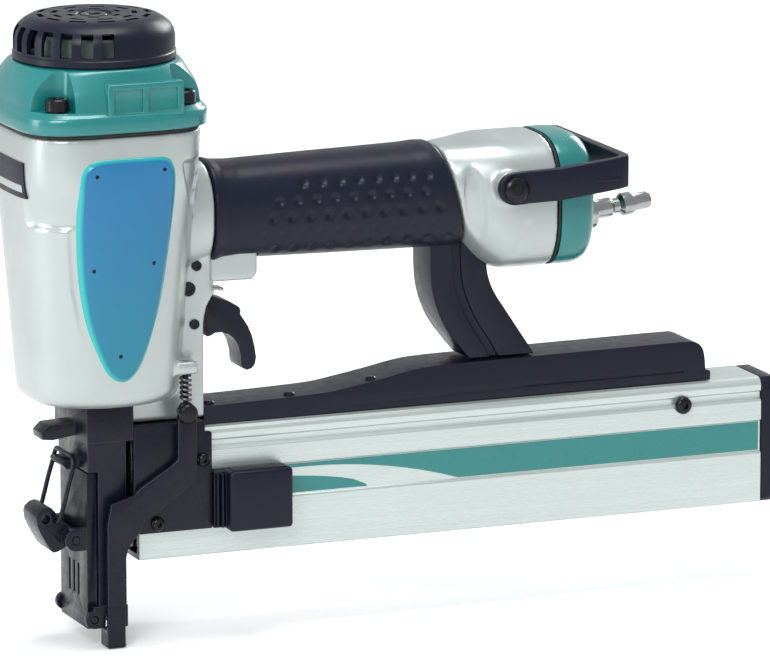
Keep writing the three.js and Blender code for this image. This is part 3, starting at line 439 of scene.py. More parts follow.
# Puts a finished piece on its body in place of its nodes.
def settle(piece, material, *nodes):
    piece.data.materials.clear()
    piece.data.materials.append(material)
    for polygon in piece.data.polygons:
        polygon.material_index = 0
    bodies = frame["record"]["behaviour"]["bodies"]
    body = next(name for name, members in bodies.items() if nodes[0] in members)
    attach(piece, body)
    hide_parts(*nodes)


# An added piece that stands for no node of its own.
def trim(piece, material, body):
    piece.data.materials.clear()
    piece.data.materials.append(material)
    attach(piece, body)


def dress(material, *nodes):
    for node in nodes:
        data = shownNodes[node].data
        data.materials.clear()
        data.materials.append(material)


# Geometry Nodes: a tree with named inputs, run once on a piece and turned into a plain mesh.
class NodeTree:
    def __init__(self, name):
        self.tree = bpy.data.node_groups.new(name, "GeometryNodeTree")
        self.inputs = {}
        self.addInput("Geometry", "NodeSocketGeometry")
        self.tree.interface.new_socket("Geometry", in_out="OUTPUT", socket_type="NodeSocketGeometry")
        self.start = self.tree.nodes.new("NodeGroupInput")
        self.end = self.tree.nodes.new("NodeGroupOutput")

    def addInput(self, name, kind="NodeSocketFloat"):
        self.inputs[name] = self.tree.interface.new_socket(name, in_out="INPUT", socket_type=kind).identifier

    def value(self, name):
        return self.start.outputs[name]

    def node(self, kind, links=None, **settings):
        plain = kind.startswith(("Function", "Shader"))
        made = self.tree.nodes.new(kind if plain else "GeometryNode" + kind)
        for key, setting in settings.items():
            setattr(made, key, setting)
        for key, source in (links or {}).items():
            if isinstance(source, bpy.types.NodeSocket):
                self.tree.links.new(source, made.inputs[key])
            else:
                made.inputs[key].default_value = source
        return made

    def close(self, geometry, material):
        real = self.node("RealizeInstances", {"Geometry": geometry})
        painted = self.node("SetMaterial", {"Geometry": real.outputs[0], "Material": material})
        self.tree.links.new(painted.outputs[0], self.end.inputs[0])

    def run(self, piece, **values):
        modifier = piece.modifiers.new("nodes", "NODES")
        modifier.node_group = self.tree
        for name, value in values.items():
            modifier[self.inputs[name]] = value
        applyAll(piece)


# A coil spring: a round wire swept along a helix, its two end turns closed up.
def buildCoilTree(material):
    coil = NodeTree("coilTree")
    for name in ("Turns", "Radius", "Wire", "Height"):
        coil.addInput(name)
    coil.addInput("Place", "NodeSocketVector")
    spiral = coil.node("CurveSpiral", {
        "Resolution": 40, "Rotations": coil.value("Turns"), "Start Radius": coil.value("Radius"),
        "End Radius": coil.value("Radius"), "Height": coil.value("Height")})
    circle = coil.node("CurvePrimitiveCircle", {"Resolution": 12, "Radius": coil.value("Wire")})
    swept = coil.node("CurveToMesh", {"Curve": spiral.outputs[0], "Profile Curve": circle.outputs[0],
                                      "Fill Caps": True})
    moved = coil.node("Transform", {"Geometry": swept.outputs[0], "Translation": coil.value("Place")})
    coil.close(moved.outputs[0], material)
    return coil


def coilSpring(coil, node, wire, turns):
    low, high = nodeBox(node)
    middle = (low + high) / 2
    name = node + "_finished"
    piece = linked(name, bpy.data.meshes.new(name))
    coil.run(piece, Turns=float(turns), Radius=((high.x - low.x) / 2 - wire) * mm, Wire=wire * mm,
             Height=(high.z - low.z - 2 * wire) * mm,
             Place=(middle.x * mm, middle.y * mm, (low.z + wire) * mm))
    shadeSmooth(piece, 50)
    settle(piece, springSteel, node)
    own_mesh(piece)


coilTree = buildCoilTree(springSteel)
coilSpring(coilTree, "head_valve_spring", 0.9, 2.5)
coilSpring(coilTree, "valve_spring", 0.5, 4)
coilSpring(coilTree, "contact_spring", 0.65, 5)
print("springs wound")


# Geometry Nodes: boxes set round a circle are cut out of the piece.
def buildRingCutTree(material):
    ring = NodeTree("ringCutTree")
    ring.addInput("Count", "NodeSocketInt")
    for name in ("Radius", "First", "Step"):
        ring.addInput(name)
    for name in ("Middle", "Size"):
        ring.addInput(name, "NodeSocketVector")
    index = ring.node("InputIndex")
    angle = ring.node("ShaderNodeMath", {0: index.outputs[0], 1: ring.value("Step"), 2: ring.value("First")},
                      operation="MULTIPLY_ADD")
    parts = []
    for operation in ("COSINE", "SINE"):
        wave = ring.node("ShaderNodeMath", {0: angle.outputs[0]}, operation=operation)
        scaled = ring.node("ShaderNodeMath", {0: wave.outputs[0], 1: ring.value("Radius")},
                           operation="MULTIPLY")
        parts.append(scaled.outputs[0])
    reach = ring.node("ShaderNodeCombineXYZ", {"X": parts[0], "Y": parts[1]})
    place = ring.node("ShaderNodeVectorMath", {0: reach.outputs[0], 1: ring.value("Middle")}, operation="ADD")
    spin = ring.node("ShaderNodeCombineXYZ", {"Z": angle.outputs[0]})
    dots = ring.node("Points", {"Count": ring.value("Count"), "Position": place.outputs[0]})
    cube = ring.node("MeshCube", {"Size": ring.value("Size")})
    boxes = ring.node("InstanceOnPoints", {"Points": dots.outputs[0], "Instance": cube.outputs[0],
                                           "Rotation": spin.outputs[0]})
    solid = ring.node("RealizeInstances", {"Geometry": boxes.outputs[0]})
    cutOut = ring.node("MeshBoolean", {"Mesh 1": ring.value("Geometry"), "Mesh 2": solid.outputs[0]},
                       operation="DIFFERENCE", solver="EXACT")
    ring.close(cutOut.outputs[0], material)
    return ring


# Geometry Nodes: one small piece is set at every point, turned by the point's own attribute.
def buildScatterTree(material):
    scatter = NodeTree("scatterTree")
    scatter.addInput("Template", "NodeSocketObject")
    pattern = scatter.node("ObjectInfo", {"Object": scatter.value("Template")})
    turn = scatter.node("InputNamedAttribute", {"Name": "turn"}, data_type="FLOAT_VECTOR")
    dots = scatter.node("MeshToPoints", {"Mesh": scatter.value("Geometry")})
    placed = scatter.node("InstanceOnPoints", {"Points": dots.outputs[0],
                                               "Instance": pattern.outputs["Geometry"],
                                               "Rotation": turn.outputs[0]})
    scatter.close(placed.outputs[0], material)
    return scatter


# Sets copies of a template, drawn about the origin, at places and turned by Euler angles.
def scattered(name, template, places, turns):
    mesh = bpy.data.meshes.new(name)
    mesh.from_pydata([tuple(v * mm for v in place) for place in places], [], [])
    turn = mesh.attributes.new("turn", "FLOAT_VECTOR", "POINT")
    turn.data.foreach_set("vector", [v for row in turns for v in row])
    piece = linked(name, mesh)
    scatterTree.run(piece, Template=template)
    bpy.data.objects.remove(template)
    shadeSmooth(piece, 35)
    return piece


scatterTree = buildScatterTree(screwSteel)
ringCutTree = buildRingCutTree(darkPlastic)


# A socket-head cap screw with its seat at the origin, pointing down.
def capScrew(headRadius, headHigh, shankRadius, length):
    rim = headHigh * 0.1
    body = turned([(0, -length), (shankRadius, -length), (shankRadius, 0), (headRadius - rim, 0),
                   (headRadius, rim), (headRadius, headHigh - rim), (headRadius - rim, headHigh),
                   (headRadius * 0.62, headHigh), (headRadius * 0.56, headHigh - rim), (0, headHigh - rim)],
                   sides=36)
    return cut(body, [rod(headRadius * 0.5, headHigh * 0.35, headHigh + 1, (0, 0, 0), sides=6)])


# The cast body: barrel, web, handle roots and rear housing. Rows are height or place, half size, squareness.
casting = {
    "footHalf": 36.5,
    "topHalf": 43.0,
    "ringPoints": 144,
    "ringSteps": 10,
    "handleHalfHeight": 24.0,
    "handleHalfWidth": 21.5,
    "endHalf": 31.5,
    "webHalf": 16.0,
    "lobeHalf": 13.0,
    "slotHalf": 8.3,
    "grain": 1.1,
    "cornerRounds": 5,
    "slant": 0.26,
    "hookBoss": 7.2,
    "hookBossInner": 25,
    "hookBossProud": 1.1,
}

axisX = centreOf("cylinder_sleeve")[0]
footZ = nodeBox("nose_base")[1].z + 0.3
topZ = nodeBox("main_housing")[1].z
handleZ = centreOf("rubber_grip")[2]
gripStart, gripEnd = (end.x for end in nodeBox("rubber_grip"))
endZ = centreOf("end_cap_gasket")[2]
endBack = nodeBox("main_housing")[1].x
pivotX, pivotZ = centreOf("trigger_pin")[::2]
valveX = centreOf("valve_body")[0]
webBack = nodeBox("magazine_cover")[0].x - 0.8
webFoot = nodeBox("main_housing")[0].z

barrelHigh = topZ - footZ
barrelRows = smoothRows([
    (footZ, casting["footHalf"] - 4.5, 2.3),
    (footZ + 3, casting["footHalf"] - 1.3, 2.4),
    (footZ + 9, casting["footHalf"], 2.4),
    (footZ + barrelHigh * 0.35, casting["footHalf"] * 0.62 + casting["topHalf"] * 0.38, 2.5),
    (footZ + barrelHigh * 0.68, casting["footHalf"] * 0.2 + casting["topHalf"] * 0.8, 2.8),
    (footZ + barrelHigh * 0.84, casting["topHalf"], 3.5),
    (topZ, casting["topHalf"], 4),
], casting["ringSteps"])
barrelTable = np.array(barrelRows)


def barrelSize(z):
    return (np.interp(z, barrelTable[:, 0], barrelTable[:, 1]),
            np.interp(z, barrelTable[:, 0], barrelTable[:, 2]))


# How far out the barrel's cheek lies at a place across and a height.
def cheek(x, z):
    half, power = barrelSize(z)
    return max(half ** power - abs(x - axisX) ** power, 1) ** (1 / power)


# Level sections of height, half size, squareness, all about the barrel's axis.
def upright(rows, count=casting["ringPoints"]):
    return skin([[(axisX + x, y, z) for x, y in roundedRing(half, half, power, count)]
                 for z, half, power in rows], "upright")


# Sections of place, middle height, half height, half width, squareness; lean slants a section's face.
def lengthwise(rows, count=96, name="lengthwise", lean=None):
    rings = []
    for x, z, halfZ, halfY, power in rows:
        slant = lean(x) if lean else 0
        rings.append([(x - slant * dz, y, z + dz) for y, dz in roundedRing(halfY, halfZ, power, count)])
    return skin(rings, name)


def webPlate():
    lobeZ = handleZ - casting["handleHalfHeight"] - 8
    half = casting["webHalf"]
    outline = [(7.3, webFoot), (webBack, webFoot), (webBack, pivotZ - 17), (webBack + 1.5, pivotZ - 9),
               (webBack + 6, pivotZ - 2), (gripStart - 0.6, lobeZ + 0.6), (gripStart - 0.6, handleZ - 10),
               (axisX + 27, handleZ - 10), (axisX + 27, footZ + 6), (7.3, footZ + 6)]
    lobeEnd = webBack + 28
    lobe = [(axisX + 27, lobeZ + 1), (lobeEnd - 3, lobeZ), (lobeEnd, lobeZ + 3), (lobeEnd, handleZ - 14),
            (axisX + 27, handleZ - 14)]
    side = casting["lobeHalf"]
    return [plate(outline, -half, half), plate(lobe, -side, side)]


def eased(value):
    share = np.clip(value, 0, 1)
    return share * share * (3 - 2 * share)


# Widths and depths are in millimetres; a share is a part of the barrel's height.
reliefSizes = {
    "plateShares": (0.1, 0.112, 0.16, 0.3, 0.46, 0.64, 0.85),
    "plateReach": (0, 0.12, 0.24, 0.4, 0.49, 0.53, 0.53),
    "ledgeShare": 0.66,
    "ledgeFade": 0.13,
    "ledgeDepth": 1.7,
    "grooveGap": 4.2,
    "grooveDepth": 1.1,
    "pocketShares": (0.6, 0.9),
    "pocketDepth": 1.7,
    "ovalHalf": (5, 19),
    "ovalDepth": 1.5,
    "creaseDepth": 0.7,
}


# Shallow shapes in the barrel's cheeks: a ledge and a groove in front of the plate, a pocket behind it.
def barrelRelief(x, y, z):
    sizes = reliefSizes
    top = casting["topHalf"]
    share = (z - footZ) / barrelHigh
    plateFront = axisX - top * np.interp(share, sizes["plateShares"], sizes["plateReach"])
    ledgeFoot = eased((z - footZ - barrelHigh * sizes["ledgeShare"]) / 2.4)
    ledge = ledgeFoot * (1 - eased((share - 0.69) / sizes["ledgeFade"])) * sizes["ledgeDepth"]
    groove = eased((x - plateFront + sizes["grooveGap"]) / 1.2) * eased((share - 0.2) / 0.25)
    groove = groove * (share < 0.68) * sizes["grooveDepth"]
    before = eased((np.abs(y) - 17) / 6) * (1 - eased((x - plateFront - 3) / 2))
    foot, head = sizes["pocketShares"]
    edge = axisX + top * (0.64 + 0.3 * np.clip((head - share) / 0.26, 0, 1) ** 1.6)
    pocket = eased((x - edge) / 1.6) * eased((share - foot) / 0.05) * eased((head - share) / 0.02)
    pocket = pocket * sizes["pocketDepth"]
    inside = (share > 0.05) & (share < 0.99) & (np.hypot(x - axisX, y) > 30) & (x < axisX + 46)
    return (np.maximum(ledge, groove) * before + pocket * (np.abs(y) > 24)) * inside


# The rear housing's shallow oval and the crease behind it.
def rearRelief(x, y, z):
    sizes = reliefSizes
    halfX, halfZ = sizes["ovalHalf"]
    oval = np.hypot((x - gripEnd - 7.5 + (z - endZ) * 0.1) / halfX, (z - endZ - 3) / halfZ)
    bend = np.abs(x - gripEnd - 29 - 3 * np.sin((z - endZ + 12) / 6))
    crease = eased(1 - bend / 1.6) * eased((endZ - 5 - z) / 3) * eased((z - endZ + 24) / 3)
    crease = crease * sizes["creaseDepth"]
    hollow = np.maximum(eased((1.15 - oval) / 0.5) * sizes["ovalDepth"], crease)
    return hollow * (x > gripEnd + 2) * eased((np.abs(y) - 20) / 4)


def pressRelief(body):
    count = len(body.data.vertices)
    flat = np.empty(count * 3, dtype=np.float32)
    body.data.vertices.foreach_get("co", flat)
    points = flat.reshape(-1, 3) / mm
    x, y, z = points.T
    depth = barrelRelief(x, y, z)
    points[:, 1] -= np.sign(y) * rearRelief(x, y, z)
    reach = np.maximum(np.hypot(x - axisX, y), 1)
    points[:, 0] -= (x - axisX) / reach * depth
    points[:, 1] -= y / reach * depth
    body.data.vertices.foreach_set("co", (points * mm).ravel().astype(np.float32))
    body.data.update()


def mainHousing():
    sizes = casting
    h, w = sizes["handleHalfHeight"], sizes["handleHalfWidth"]
    end = sizes["endHalf"]
    springX, springY = centreOf("contact_spring")[:2]
    lugZ = nodeBox("contact_spring")[1].z + 0.4

    def lean(x):
        return sizes["slant"] * max(0, 1 - (x - gripEnd) / 22)

    solids = [
        upright(barrelRows),
        lengthwise(smoothRows([(axisX + 27, handleZ, h + 7, w + 5, 2.2),
                               (webBack - 3, handleZ, h + 2, w + 1.5, 2.3),
                               (gripStart - 0.3, handleZ, h, w, 2.4)], 6)),
        lengthwise([(axisX + 27, handleZ, h - 9, w - 9, 2.2), (gripEnd + 12, handleZ, h - 9, w - 9, 2.2)],
                   count=64),
        lengthwise(smoothRows([(gripEnd + 0.3, handleZ, h, w, 2.5),
                               (gripEnd + 9, endZ + 2, end - 3.5, end - 6, 2.7),
                               (gripEnd + 20, endZ + 0.5, end - 0.5, end - 1.5, 3),
                               (gripEnd + 29, endZ, end, end, 3), (endBack, endZ, end, end, 3)], 6),
                   lean=lean),
        *webPlate(),
        box((springX - 5, springY - 3.8, lugZ), (springX + 5, -sizes["lobeHalf"], lugZ + 6)),
    ]
    hookX, hookZ = centreOf("hook_screw_left")[::2]
    for side in (-1, 1):
        ends = sorted((side * sizes["hookBossInner"], side * (end + sizes["hookBossProud"])))
        solids.append(rod(sizes["hookBoss"], *ends, (hookX, 0, hookZ), "y", 48))
    body = cast(joined("main_housing_finished", solids), sizes["grain"], sizes["cornerRounds"])
    pressRelief(body)
    slot = sizes["slotHalf"]
    cuts = [
        joined("bores", [
            rod(28.6, footZ + 18, topZ + 1, (axisX, 0, 0), sides=72),
            rod(end - 8, gripEnd + 22, endBack + 1, (0, 0, endZ), "x", 64),
            rod(1.9, lugZ - 1, lugZ + 7, (springX, springY, 0)),
        ]),
        box((axisX - 2.2, -13.4, footZ - 1), (axisX + 2.2, 13.4, footZ + 19)),
        box((pivotX - 0.7, -slot, webFoot - 1), (webBack + 34, slot, pivotZ + 2.2)),
        rod(5, -slot, slot, (pivotX, 0, pivotZ), "y"),
        rod(6.8, pivotZ + 1, handleZ - 9, (valveX, 0, 0)),
        rod(3.6, -sizes["webHalf"] - 4, -sizes["webHalf"] + 0.1, (pivotX, 0, pivotZ), "y"),
    ]
    cut(body, cuts)
    shadeSmooth(body, 50)
    settle(body, silverPaint, "main_housing")


mainHousing()
print("housing cast")


# Glossy plates on the barrel's two cheeks, with a raised rim that slopes to the casting.
sidePlate = {
    "rows": 150,
    "columns": 44,
    "rise": 2.0,
    "rim": 2.2,
    "sink": 0.4,
    "thick": 1.0,
    "pinRadius": 0.95,
    "cornerSteps": 5,
}
plateOutline = smoothRows([(axisX + u * casting["topHalf"], footZ + w * barrelHigh) for u, w in (
    (-0.53, 0.82), (-0.5, 0.88), (-0.4, 0.915), (-0.2, 0.925), (0.15, 0.925), (0.42, 0.92), (0.52, 0.895),
    (0.56, 0.83), (0.54, 0.68), (0.44, 0.43), (0.31, 0.26), (0.2, 0.165), (0.1, 0.118), (0, 0.1),
    (-0.12, 0.112), (-0.24, 0.16), (-0.4, 0.3), (-0.49, 0.46), (-0.53, 0.64), (-0.53, 0.82))],
    sidePlate["cornerSteps"])[:-1]
# The first fade turns the plate greener and a little lighter towards the bottom; the second lightens it
# towards its outline, a painted highlight on the sloping rim.
tealPlate = finish("tealPlate", ((0.006, 0.13, 0.29), (0.009, 0.15, 0.32)), (0.2, 0.26), patch=30, grain=600,
                   bump=0.03, coat=0.3, coatRoughness=0.08, specular=0.3, fades=(
                       {"axis": "Z", "start": (footZ + 95) * mm, "end": (footZ + 20) * mm,
                        "colour": (0.005, 0.17, 0.25)},
                       {"attribute": "rim", "start": 0.35, "end": 0.75, "colour": (0.015, 0.36, 0.34)}))


# Where a level line crosses an outline of points, and how far a point lies from it.
def crossings(outline, level):
    found = []
    for (x0, z0), (x1, z1) in zip(outline, [*outline[1:], outline[0]]):
        if (z0 - level) * (z1 - level) < 0:
            found.append(x0 + (x1 - x0) * (level - z0) / (z1 - z0))
    return min(found), max(found)


def outlineDistance(outline, x, z):
    a = np.array(outline)
    b = np.roll(a, -1, axis=0)
    span = b - a
    along = np.clip(((x - a[:, 0]) * span[:, 0] + (z - a[:, 1]) * span[:, 1]) / (span ** 2).sum(1), 0, 1)
    near = a + span * along[:, None]
    return np.hypot(near[:, 0] - x, near[:, 1] - z).min()


def easedShares(count):
    return [0.5 - 0.5 * math.cos(math.pi * k / (count - 1)) for k in range(count)]


# A closed shell between two grids of points that have the same rows and columns.
def shell(name, front, back, columns):
    count = len(front)
    rows = count // columns
    faces = []
    for k in range(rows - 1):
        for i in range(columns - 1):
            a = k * columns + i
            faces.append((a, a + 1, a + columns + 1, a + columns))
            faces.append((count + a, count + a + columns, count + a + columns + 1, count + a + 1))
    border = ([(0, i) for i in range(columns)] + [(k, columns - 1) for k in range(1, rows)]
              + [(rows - 1, i) for i in range(columns - 2, -1, -1)]
              + [(k, 0) for k in range(rows - 2, 0, -1)])
    edge = [k * columns + i for k, i in border]
    faces += [(a, b, count + b, count + a) for a, b in zip(edge, [*edge[1:], edge[0]])]
    return newObject(name, front + back, faces, 30)


def sidePanel(node, side):
    sizes = sidePlate
    levels = [p[1] for p in plateOutline]
    low, high = min(levels) + 0.02, max(levels) - 0.02
    front, back = [], []
    for share in easedShares(sizes["rows"]):
        z = low + (high - low) * share
        left, right = crossings(plateOutline, z)
        for across in easedShares(sizes["columns"]):
            x = left + (right - left) * across
            inset = min(outlineDistance(plateOutline, x, z) / sizes["rim"], 1)
            rise = sizes["rise"] * (inset ** 0.8)
            front.append((x, side * (cheek(x, z) - sizes["sink"] + rise), z))
            back.append((x, side * (cheek(x, z) - sizes["sink"] - sizes["thick"]), z))
    piece = shell(node + "_finished", front, back, sizes["columns"])
    settle(piece, tealPlate, node)
    # The rim attribute places the painted highlight: 1 at the outline, fading to 0 further inside.
    rim = piece.data.attributes.new("rim", "FLOAT", "POINT")
    for vertex, share in zip(piece.data.vertices, rim.data):
        away = outlineDistance(plateOutline, vertex.co.x / mm, vertex.co.z / mm)
        share.value = 1 - min(away / sizes["rim"] / 1.6, 1)


def platePins():
    places, turns = [], []
    for side in (-1, 1):
        for x, z in ((-15, 0.865), (17.5, 0.875), (-15.5, 0.52), (13, 0.535), (-2.5, 0.2)):
            height = footZ + z * barrelHigh
            reach = cheek(axisX + x, height) - sidePlate["sink"] + sidePlate["rise"]
            places.append((axisX + x, side * (reach + 0.05), height))
            turns.append((-side * math.pi / 2, 0, 0))
    r = sidePlate["pinRadius"]
    pin = turned([(0, -1), (r, -1), (r, 0), (r * 0.8, 0.12), (0, 0.12)], sides=20)
    piece = scattered("plate_pins", pin, places, turns)
    trim(piece, screwSteel, "tool_frame")


# The dark label plate that wraps the barrel's front, left blank but for one pale band.
dataSizes = {
    "rows": 26,
    "columns": 40,
    "proud": 0.75,
    "sink": 0.5,
    "band": (0.16, 0.34),
    "bandHalf": 20,
}


def dataPlate():
    sizes = dataSizes
    low, high = nodeBox("data_plate")
    rows, columns = sizes["rows"], sizes["columns"]
    front, back = [], []
    for k in range(rows):
        z = low.z + (high.z - low.z) * k / (rows - 1)
        half, power = barrelSize(z)
        for i in range(columns):
            y = low.y + (high.y - low.y) * i / (columns - 1)
            x = axisX - (half ** power - abs(y) ** power) ** (1 / power)
            front.append((x - sizes["proud"], y, z))
            back.append((x + sizes["sink"], y, z))
    piece = shell("data_plate_finished", front, back, columns)
    settle(piece, darkPlastic, "data_plate")
    piece.data.materials.append(silverPaint)
    foot, head = sizes["band"]
    for polygon in piece.data.polygons:
        share = (polygon.center.z / mm - low.z) / (high.z - low.z)
        if foot < share < head and abs(polygon.center.y) / mm < sizes["bandHalf"]:
            polygon.material_index = 1


sidePanel("side_panel_left", -1)
sidePanel("side_panel_right", 1)
platePins()
dataPlate()
print("side plates fitted")

# The painted head: a flange, a waist with four screw pockets, a ribbed pad on each cheek.
headSizes = {
    "flange": 8.0,
    "grain": 0.85,
    "rounds": 4,
    "pocket": 6.4,
    "pocketRise": 10.0,
    "padRange": (-9.5, 27.0),
    "padWindows": ((-6.6, 7.2), (10.0, 23.8)),
}


def cylinderHead():
    sizes = headSizes
    low, high = nodeBox("cylinder_head")
    half = (high.x - low.x) / 2
    z = low.z
    capHalf = (nodeBox("exhaust_cover")[1].x - nodeBox("exhaust_cover")[0].x) / 2
    rows = [(z, half, 4), (z + sizes["flange"] - 0.8, half, 4), (z + sizes["flange"] + 1.4, half - 2.2, 3.8),
            (z + 14, half - 2.5, 3.6), (z + 19, half - 3.4, 3.2), (high.z - 4, half - 5.5, 2.7),
            (high.z - 1, capHalf + 1.6, 2.3), (high.z, capHalf + 0.8, 2.1)]
    body = cast(upright(smoothRows(rows, 4), count=128), sizes["grain"], sizes["rounds"])
    cutters = []
    r, seatZ = sizes["pocket"], z + sizes["pocketRise"]
    for k in range(4):
        x, y = centreOf(f"head_screw_{k + 1}")[:2]
        i, j = (1 if x > axisX else -1), (1 if y > 0 else -1)
        outline = [(x + i * 22, y + j * 22), (x + i * 22, y - j * r)]
        outline += [(x - i * r * math.sin(a), y - j * r * math.cos(a))
                    for a in np.linspace(0, math.pi / 2, 9)]
        outline += [(x - i * r, y + j * 22)]
        cutters.append(slab(outline, seatZ, high.z + 1))
    cutters.append(rod(30.2, z - 1, high.z - 8, (axisX, 0, 0), sides=72))
    ports = [rod(4, high.z - 9, high.z + 1, (axisX + 16 * math.cos(a), 16 * math.sin(a), 0), sides=24)
             for a in np.arange(6) * math.pi / 3 + math.pi / 6]
    cutters.append(joined("ports", ports))
    cut(body, cutters)
    x0, x1 = (axisX + x for x in sizes["padRange"])
    pads = []
    for side in (-1, 1):
        y0, y1 = sorted((side * (half - 12), side * (half - 0.7)))
        pad = box((x0, y0, z + 7), (x1, y1, z + 22.4))
        windows = []
        for w0, w1 in sizes["padWindows"]:
            v0, v1 = sorted((side * (half - 2.5), side * (half + 1)))
            windows.append(box((axisX + w0, v0, z + 9.2), (axisX + w1, v1, z + 19.8)))
        cut(pad, [joined("windows", windows)])
        pads.append(bevel(pad, 0.55, 3))
    body = joined("cylinder_head_finished", [body, *pads])
    shadeSmooth(body, 50)
    settle(body, tealPaint, "cylinder_head")


def headScrews():
    nodes = [f"head_screw_{k + 1}" for k in range(4)]
    headHigh = 6
    places = [(*centreOf(node)[:2], nodeBox(node)[1].z - headHigh) for node in nodes]
    piece = scattered("head_screws_finished", capScrew(5.4, headHigh, 2.6, 21), places, [(0, 0, 0.4)] * 4)
    settle(piece, screwSteel, *nodes)


# The turning exhaust cover: a spun shell with side windows and rings of slots in its crown.
coverSizes = {
    "windowCount": 9,
    "windowStep": 15.4,
    "windowWide": 5.6,
    "slotRings": ((12.0, 6, 5.0), (18.5, 9, 7.0), (25.0, 12, 8.0)),
    "slotWide": 2.4,
}


def exhaustCover():
    sizes = coverSizes
    low, high = nodeBox("exhaust_cover")
    r = (high.x - low.x) / 2
    z, top = low.z, high.z
    profile = [(3.4, z), (7.5, z), (7.5, top - 5.2), (r - 13, top - 3.4), (r - 8.5, top - 4.4),
               (r - 5.2, z + 14), (r - 2.9, z + 9.5), (r - 2.6, z), (r - 0.6, z), (r, z + 0.6), (r, z + 3.2),
               (r - 0.5, z + 3.7), (r - 0.5, z + 10.2), (r - 1.1, z + 12.9), (r - 2.6, z + 15.4),
               (r - 5, z + 17.4), (r - 8, top - 0.9), (r - 10.5, top - 0.3), (r - 12.6, top), (9.4, top),
               (8.6, top - 0.3), (8.2, top - 1), (6.9, top - 1.4), (6.8, top - 3.2), (3.4, top - 3.2),
               (3.4, z)]
    cover = turned(profile, (axisX, 0, 0), 144, name="exhaust_cover_finished", smoothAngle=40)
    step = math.radians(sizes["windowStep"])
    ringCutTree.run(cover, Count=sizes["windowCount"], Radius=r * mm, Step=step,
                    First=math.pi - step * (sizes["windowCount"] - 1) / 2 + 0.33,
                    Middle=(axisX * mm, 0, (z + 10.2) * mm),
                    Size=(12 * mm, sizes["windowWide"] * mm, 11 * mm))
    for radius, count, long in sizes["slotRings"]:
        ringCutTree.run(cover, Count=count, Radius=radius * mm, First=radius * 0.1, Step=2 * math.pi / count,
                        Middle=(axisX * mm, 0, top * mm), Size=(sizes["slotWide"] * mm, long * mm, 9 * mm))
    shadeSmooth(cover, 40)
    settle(cover, darkPlastic, "exhaust_cover")


def coverScrew():
    low, high = nodeBox("exhaust_screw")
    headHigh = 2.6
    screw = capScrew(6.2, headHigh, 2.4, high.z - low.z - headHigh)
    screw.data.transform(Matrix.Translation(Vector((axisX, 0, high.z - headHigh)) * mm))
    screw.name = "exhaust_screw_finished"
    settle(screw, screwSteel, "exhaust_screw")


def muffler():
    low, high = nodeBox("exhaust_muffler")
    profile = [(21, low.z), (25.5, low.z), (25.5, high.z - 1), (24.5, high.z), (22, high.z), (21, high.z - 1),
               (21, low.z)]
    felt = finish("mufflerFelt", ((0.07, 0.10, 0.095), (0.14, 0.18, 0.165)), (0.85, 0.95), patch=400,
                  grain=1200, bump=0.8)
    settle(turned(profile, (axisX, 0, 0), 96, name="exhaust_muffler_finished"), felt, "exhaust_muffler")


cylinderHead()
headScrews()
exhaustCover()
coverScrew()
muffler()
print("head and exhaust cover fitted")

# Rubber grip: a thin sleeve with staggered dimples on both sides, its rear edge leaning back.
gripSizes = {
    "around": 176,
    "along": 168,
    "wall": 6.2,
    "dimpleRadius": 2.7,
    "dimpleDepth": 1.3,
    "pitch": 9.1,
    "rowPitch": 7.6,
    "topRow": 12.6,
    "rows": 6,
    "rearGap": 5.0,
}


def gripHalfSizes(x):
    start, end = gripStart, gripEnd
    long = end - start
    table = np.array([(start, 0.3, 0.2), (start + 2, 0.4, 0.3), (start + 6, -0.7, -0.6),
                      (start + 14, -1.2, -1), (start + long * 0.45, -0.3, -0.2), (end - 16, 0.7, 0.5),
                      (end - 8, 1.2, 0.9), (end - 2, 1.0, 0.7), (end, 0.1, 0.1)])
    dz, dy = (np.interp(x, table[:, 0], table[:, c]) for c in (1, 2))
    return casting["handleHalfHeight"] + dz, casting["handleHalfWidth"] + dy


def dimpleDepth(x, y, z):
    sizes = gripSizes
    if abs(y) < 9:
        return 0
    row = round((sizes["topRow"] - z) / sizes["rowPitch"])
    if not 0 <= row < sizes["rows"]:
        return 0
    last = gripEnd - sizes["rearGap"] - 8 - (row % 2) * sizes["pitch"] / 2 + row * 1.4
    step = round((last - x) / sizes["pitch"])
    if not 0 <= step < 8 + min(row, 2):
        return 0
    away = math.hypot(x - (last - step * sizes["pitch"]), z - (sizes["topRow"] - row * sizes["rowPitch"]))
    share = away / sizes["dimpleRadius"]
    fadeOut = 1 if row < 3 else 0.55
    return sizes["dimpleDepth"] * fadeOut * (1 - share ** 2) ** 1.5 if share < 1 else 0


def rubberGrip():
    sizes = gripSizes
    shares = np.linspace(0, 1, sizes["along"])
    places = [gripStart + (gripEnd - gripStart) * s for s in shares]
    slant = casting["slant"]

    def ring(x, grow, dimples):
        halfZ, halfY = gripHalfSizes(x)
        lean = slant * max(0, 1 - (gripEnd - x) / 40)
        points = []
        for y, dz in roundedRing(halfY + grow, halfZ + grow, 2.45, sizes["around"]):
            depth = dimpleDepth(x, y, dz) if dimples else 0
            size = math.hypot(y, dz)
            scale = (size - depth) / size
            points.append((x - lean * dz, y * scale, handleZ + dz * scale))
        return points

    edge = 1.4
    outer = [ring(x, 0, True) for x in places[1:-1]]
    front = [ring(places[0], -sizes["wall"], False), ring(places[0], -edge, False),
             ring(places[0] + 0.4, -0.4, False)]
    rear = [ring(places[-1] - 0.4, -0.4, False), ring(places[-1], -edge, False),
            ring(places[-1], -sizes["wall"], False)]
    body = skin(front + outer + rear, "rubber_grip_finished", 50, closed=True)
    end = webBack + 28.4
    half = casting["lobeHalf"] + 0.3
    cut(body, [box((gripStart - 1, -half, handleZ - 33), (end, half, handleZ - 8))])
    shadeSmooth(body, 50)
    settle(body, gripRubber, "rubber_grip")


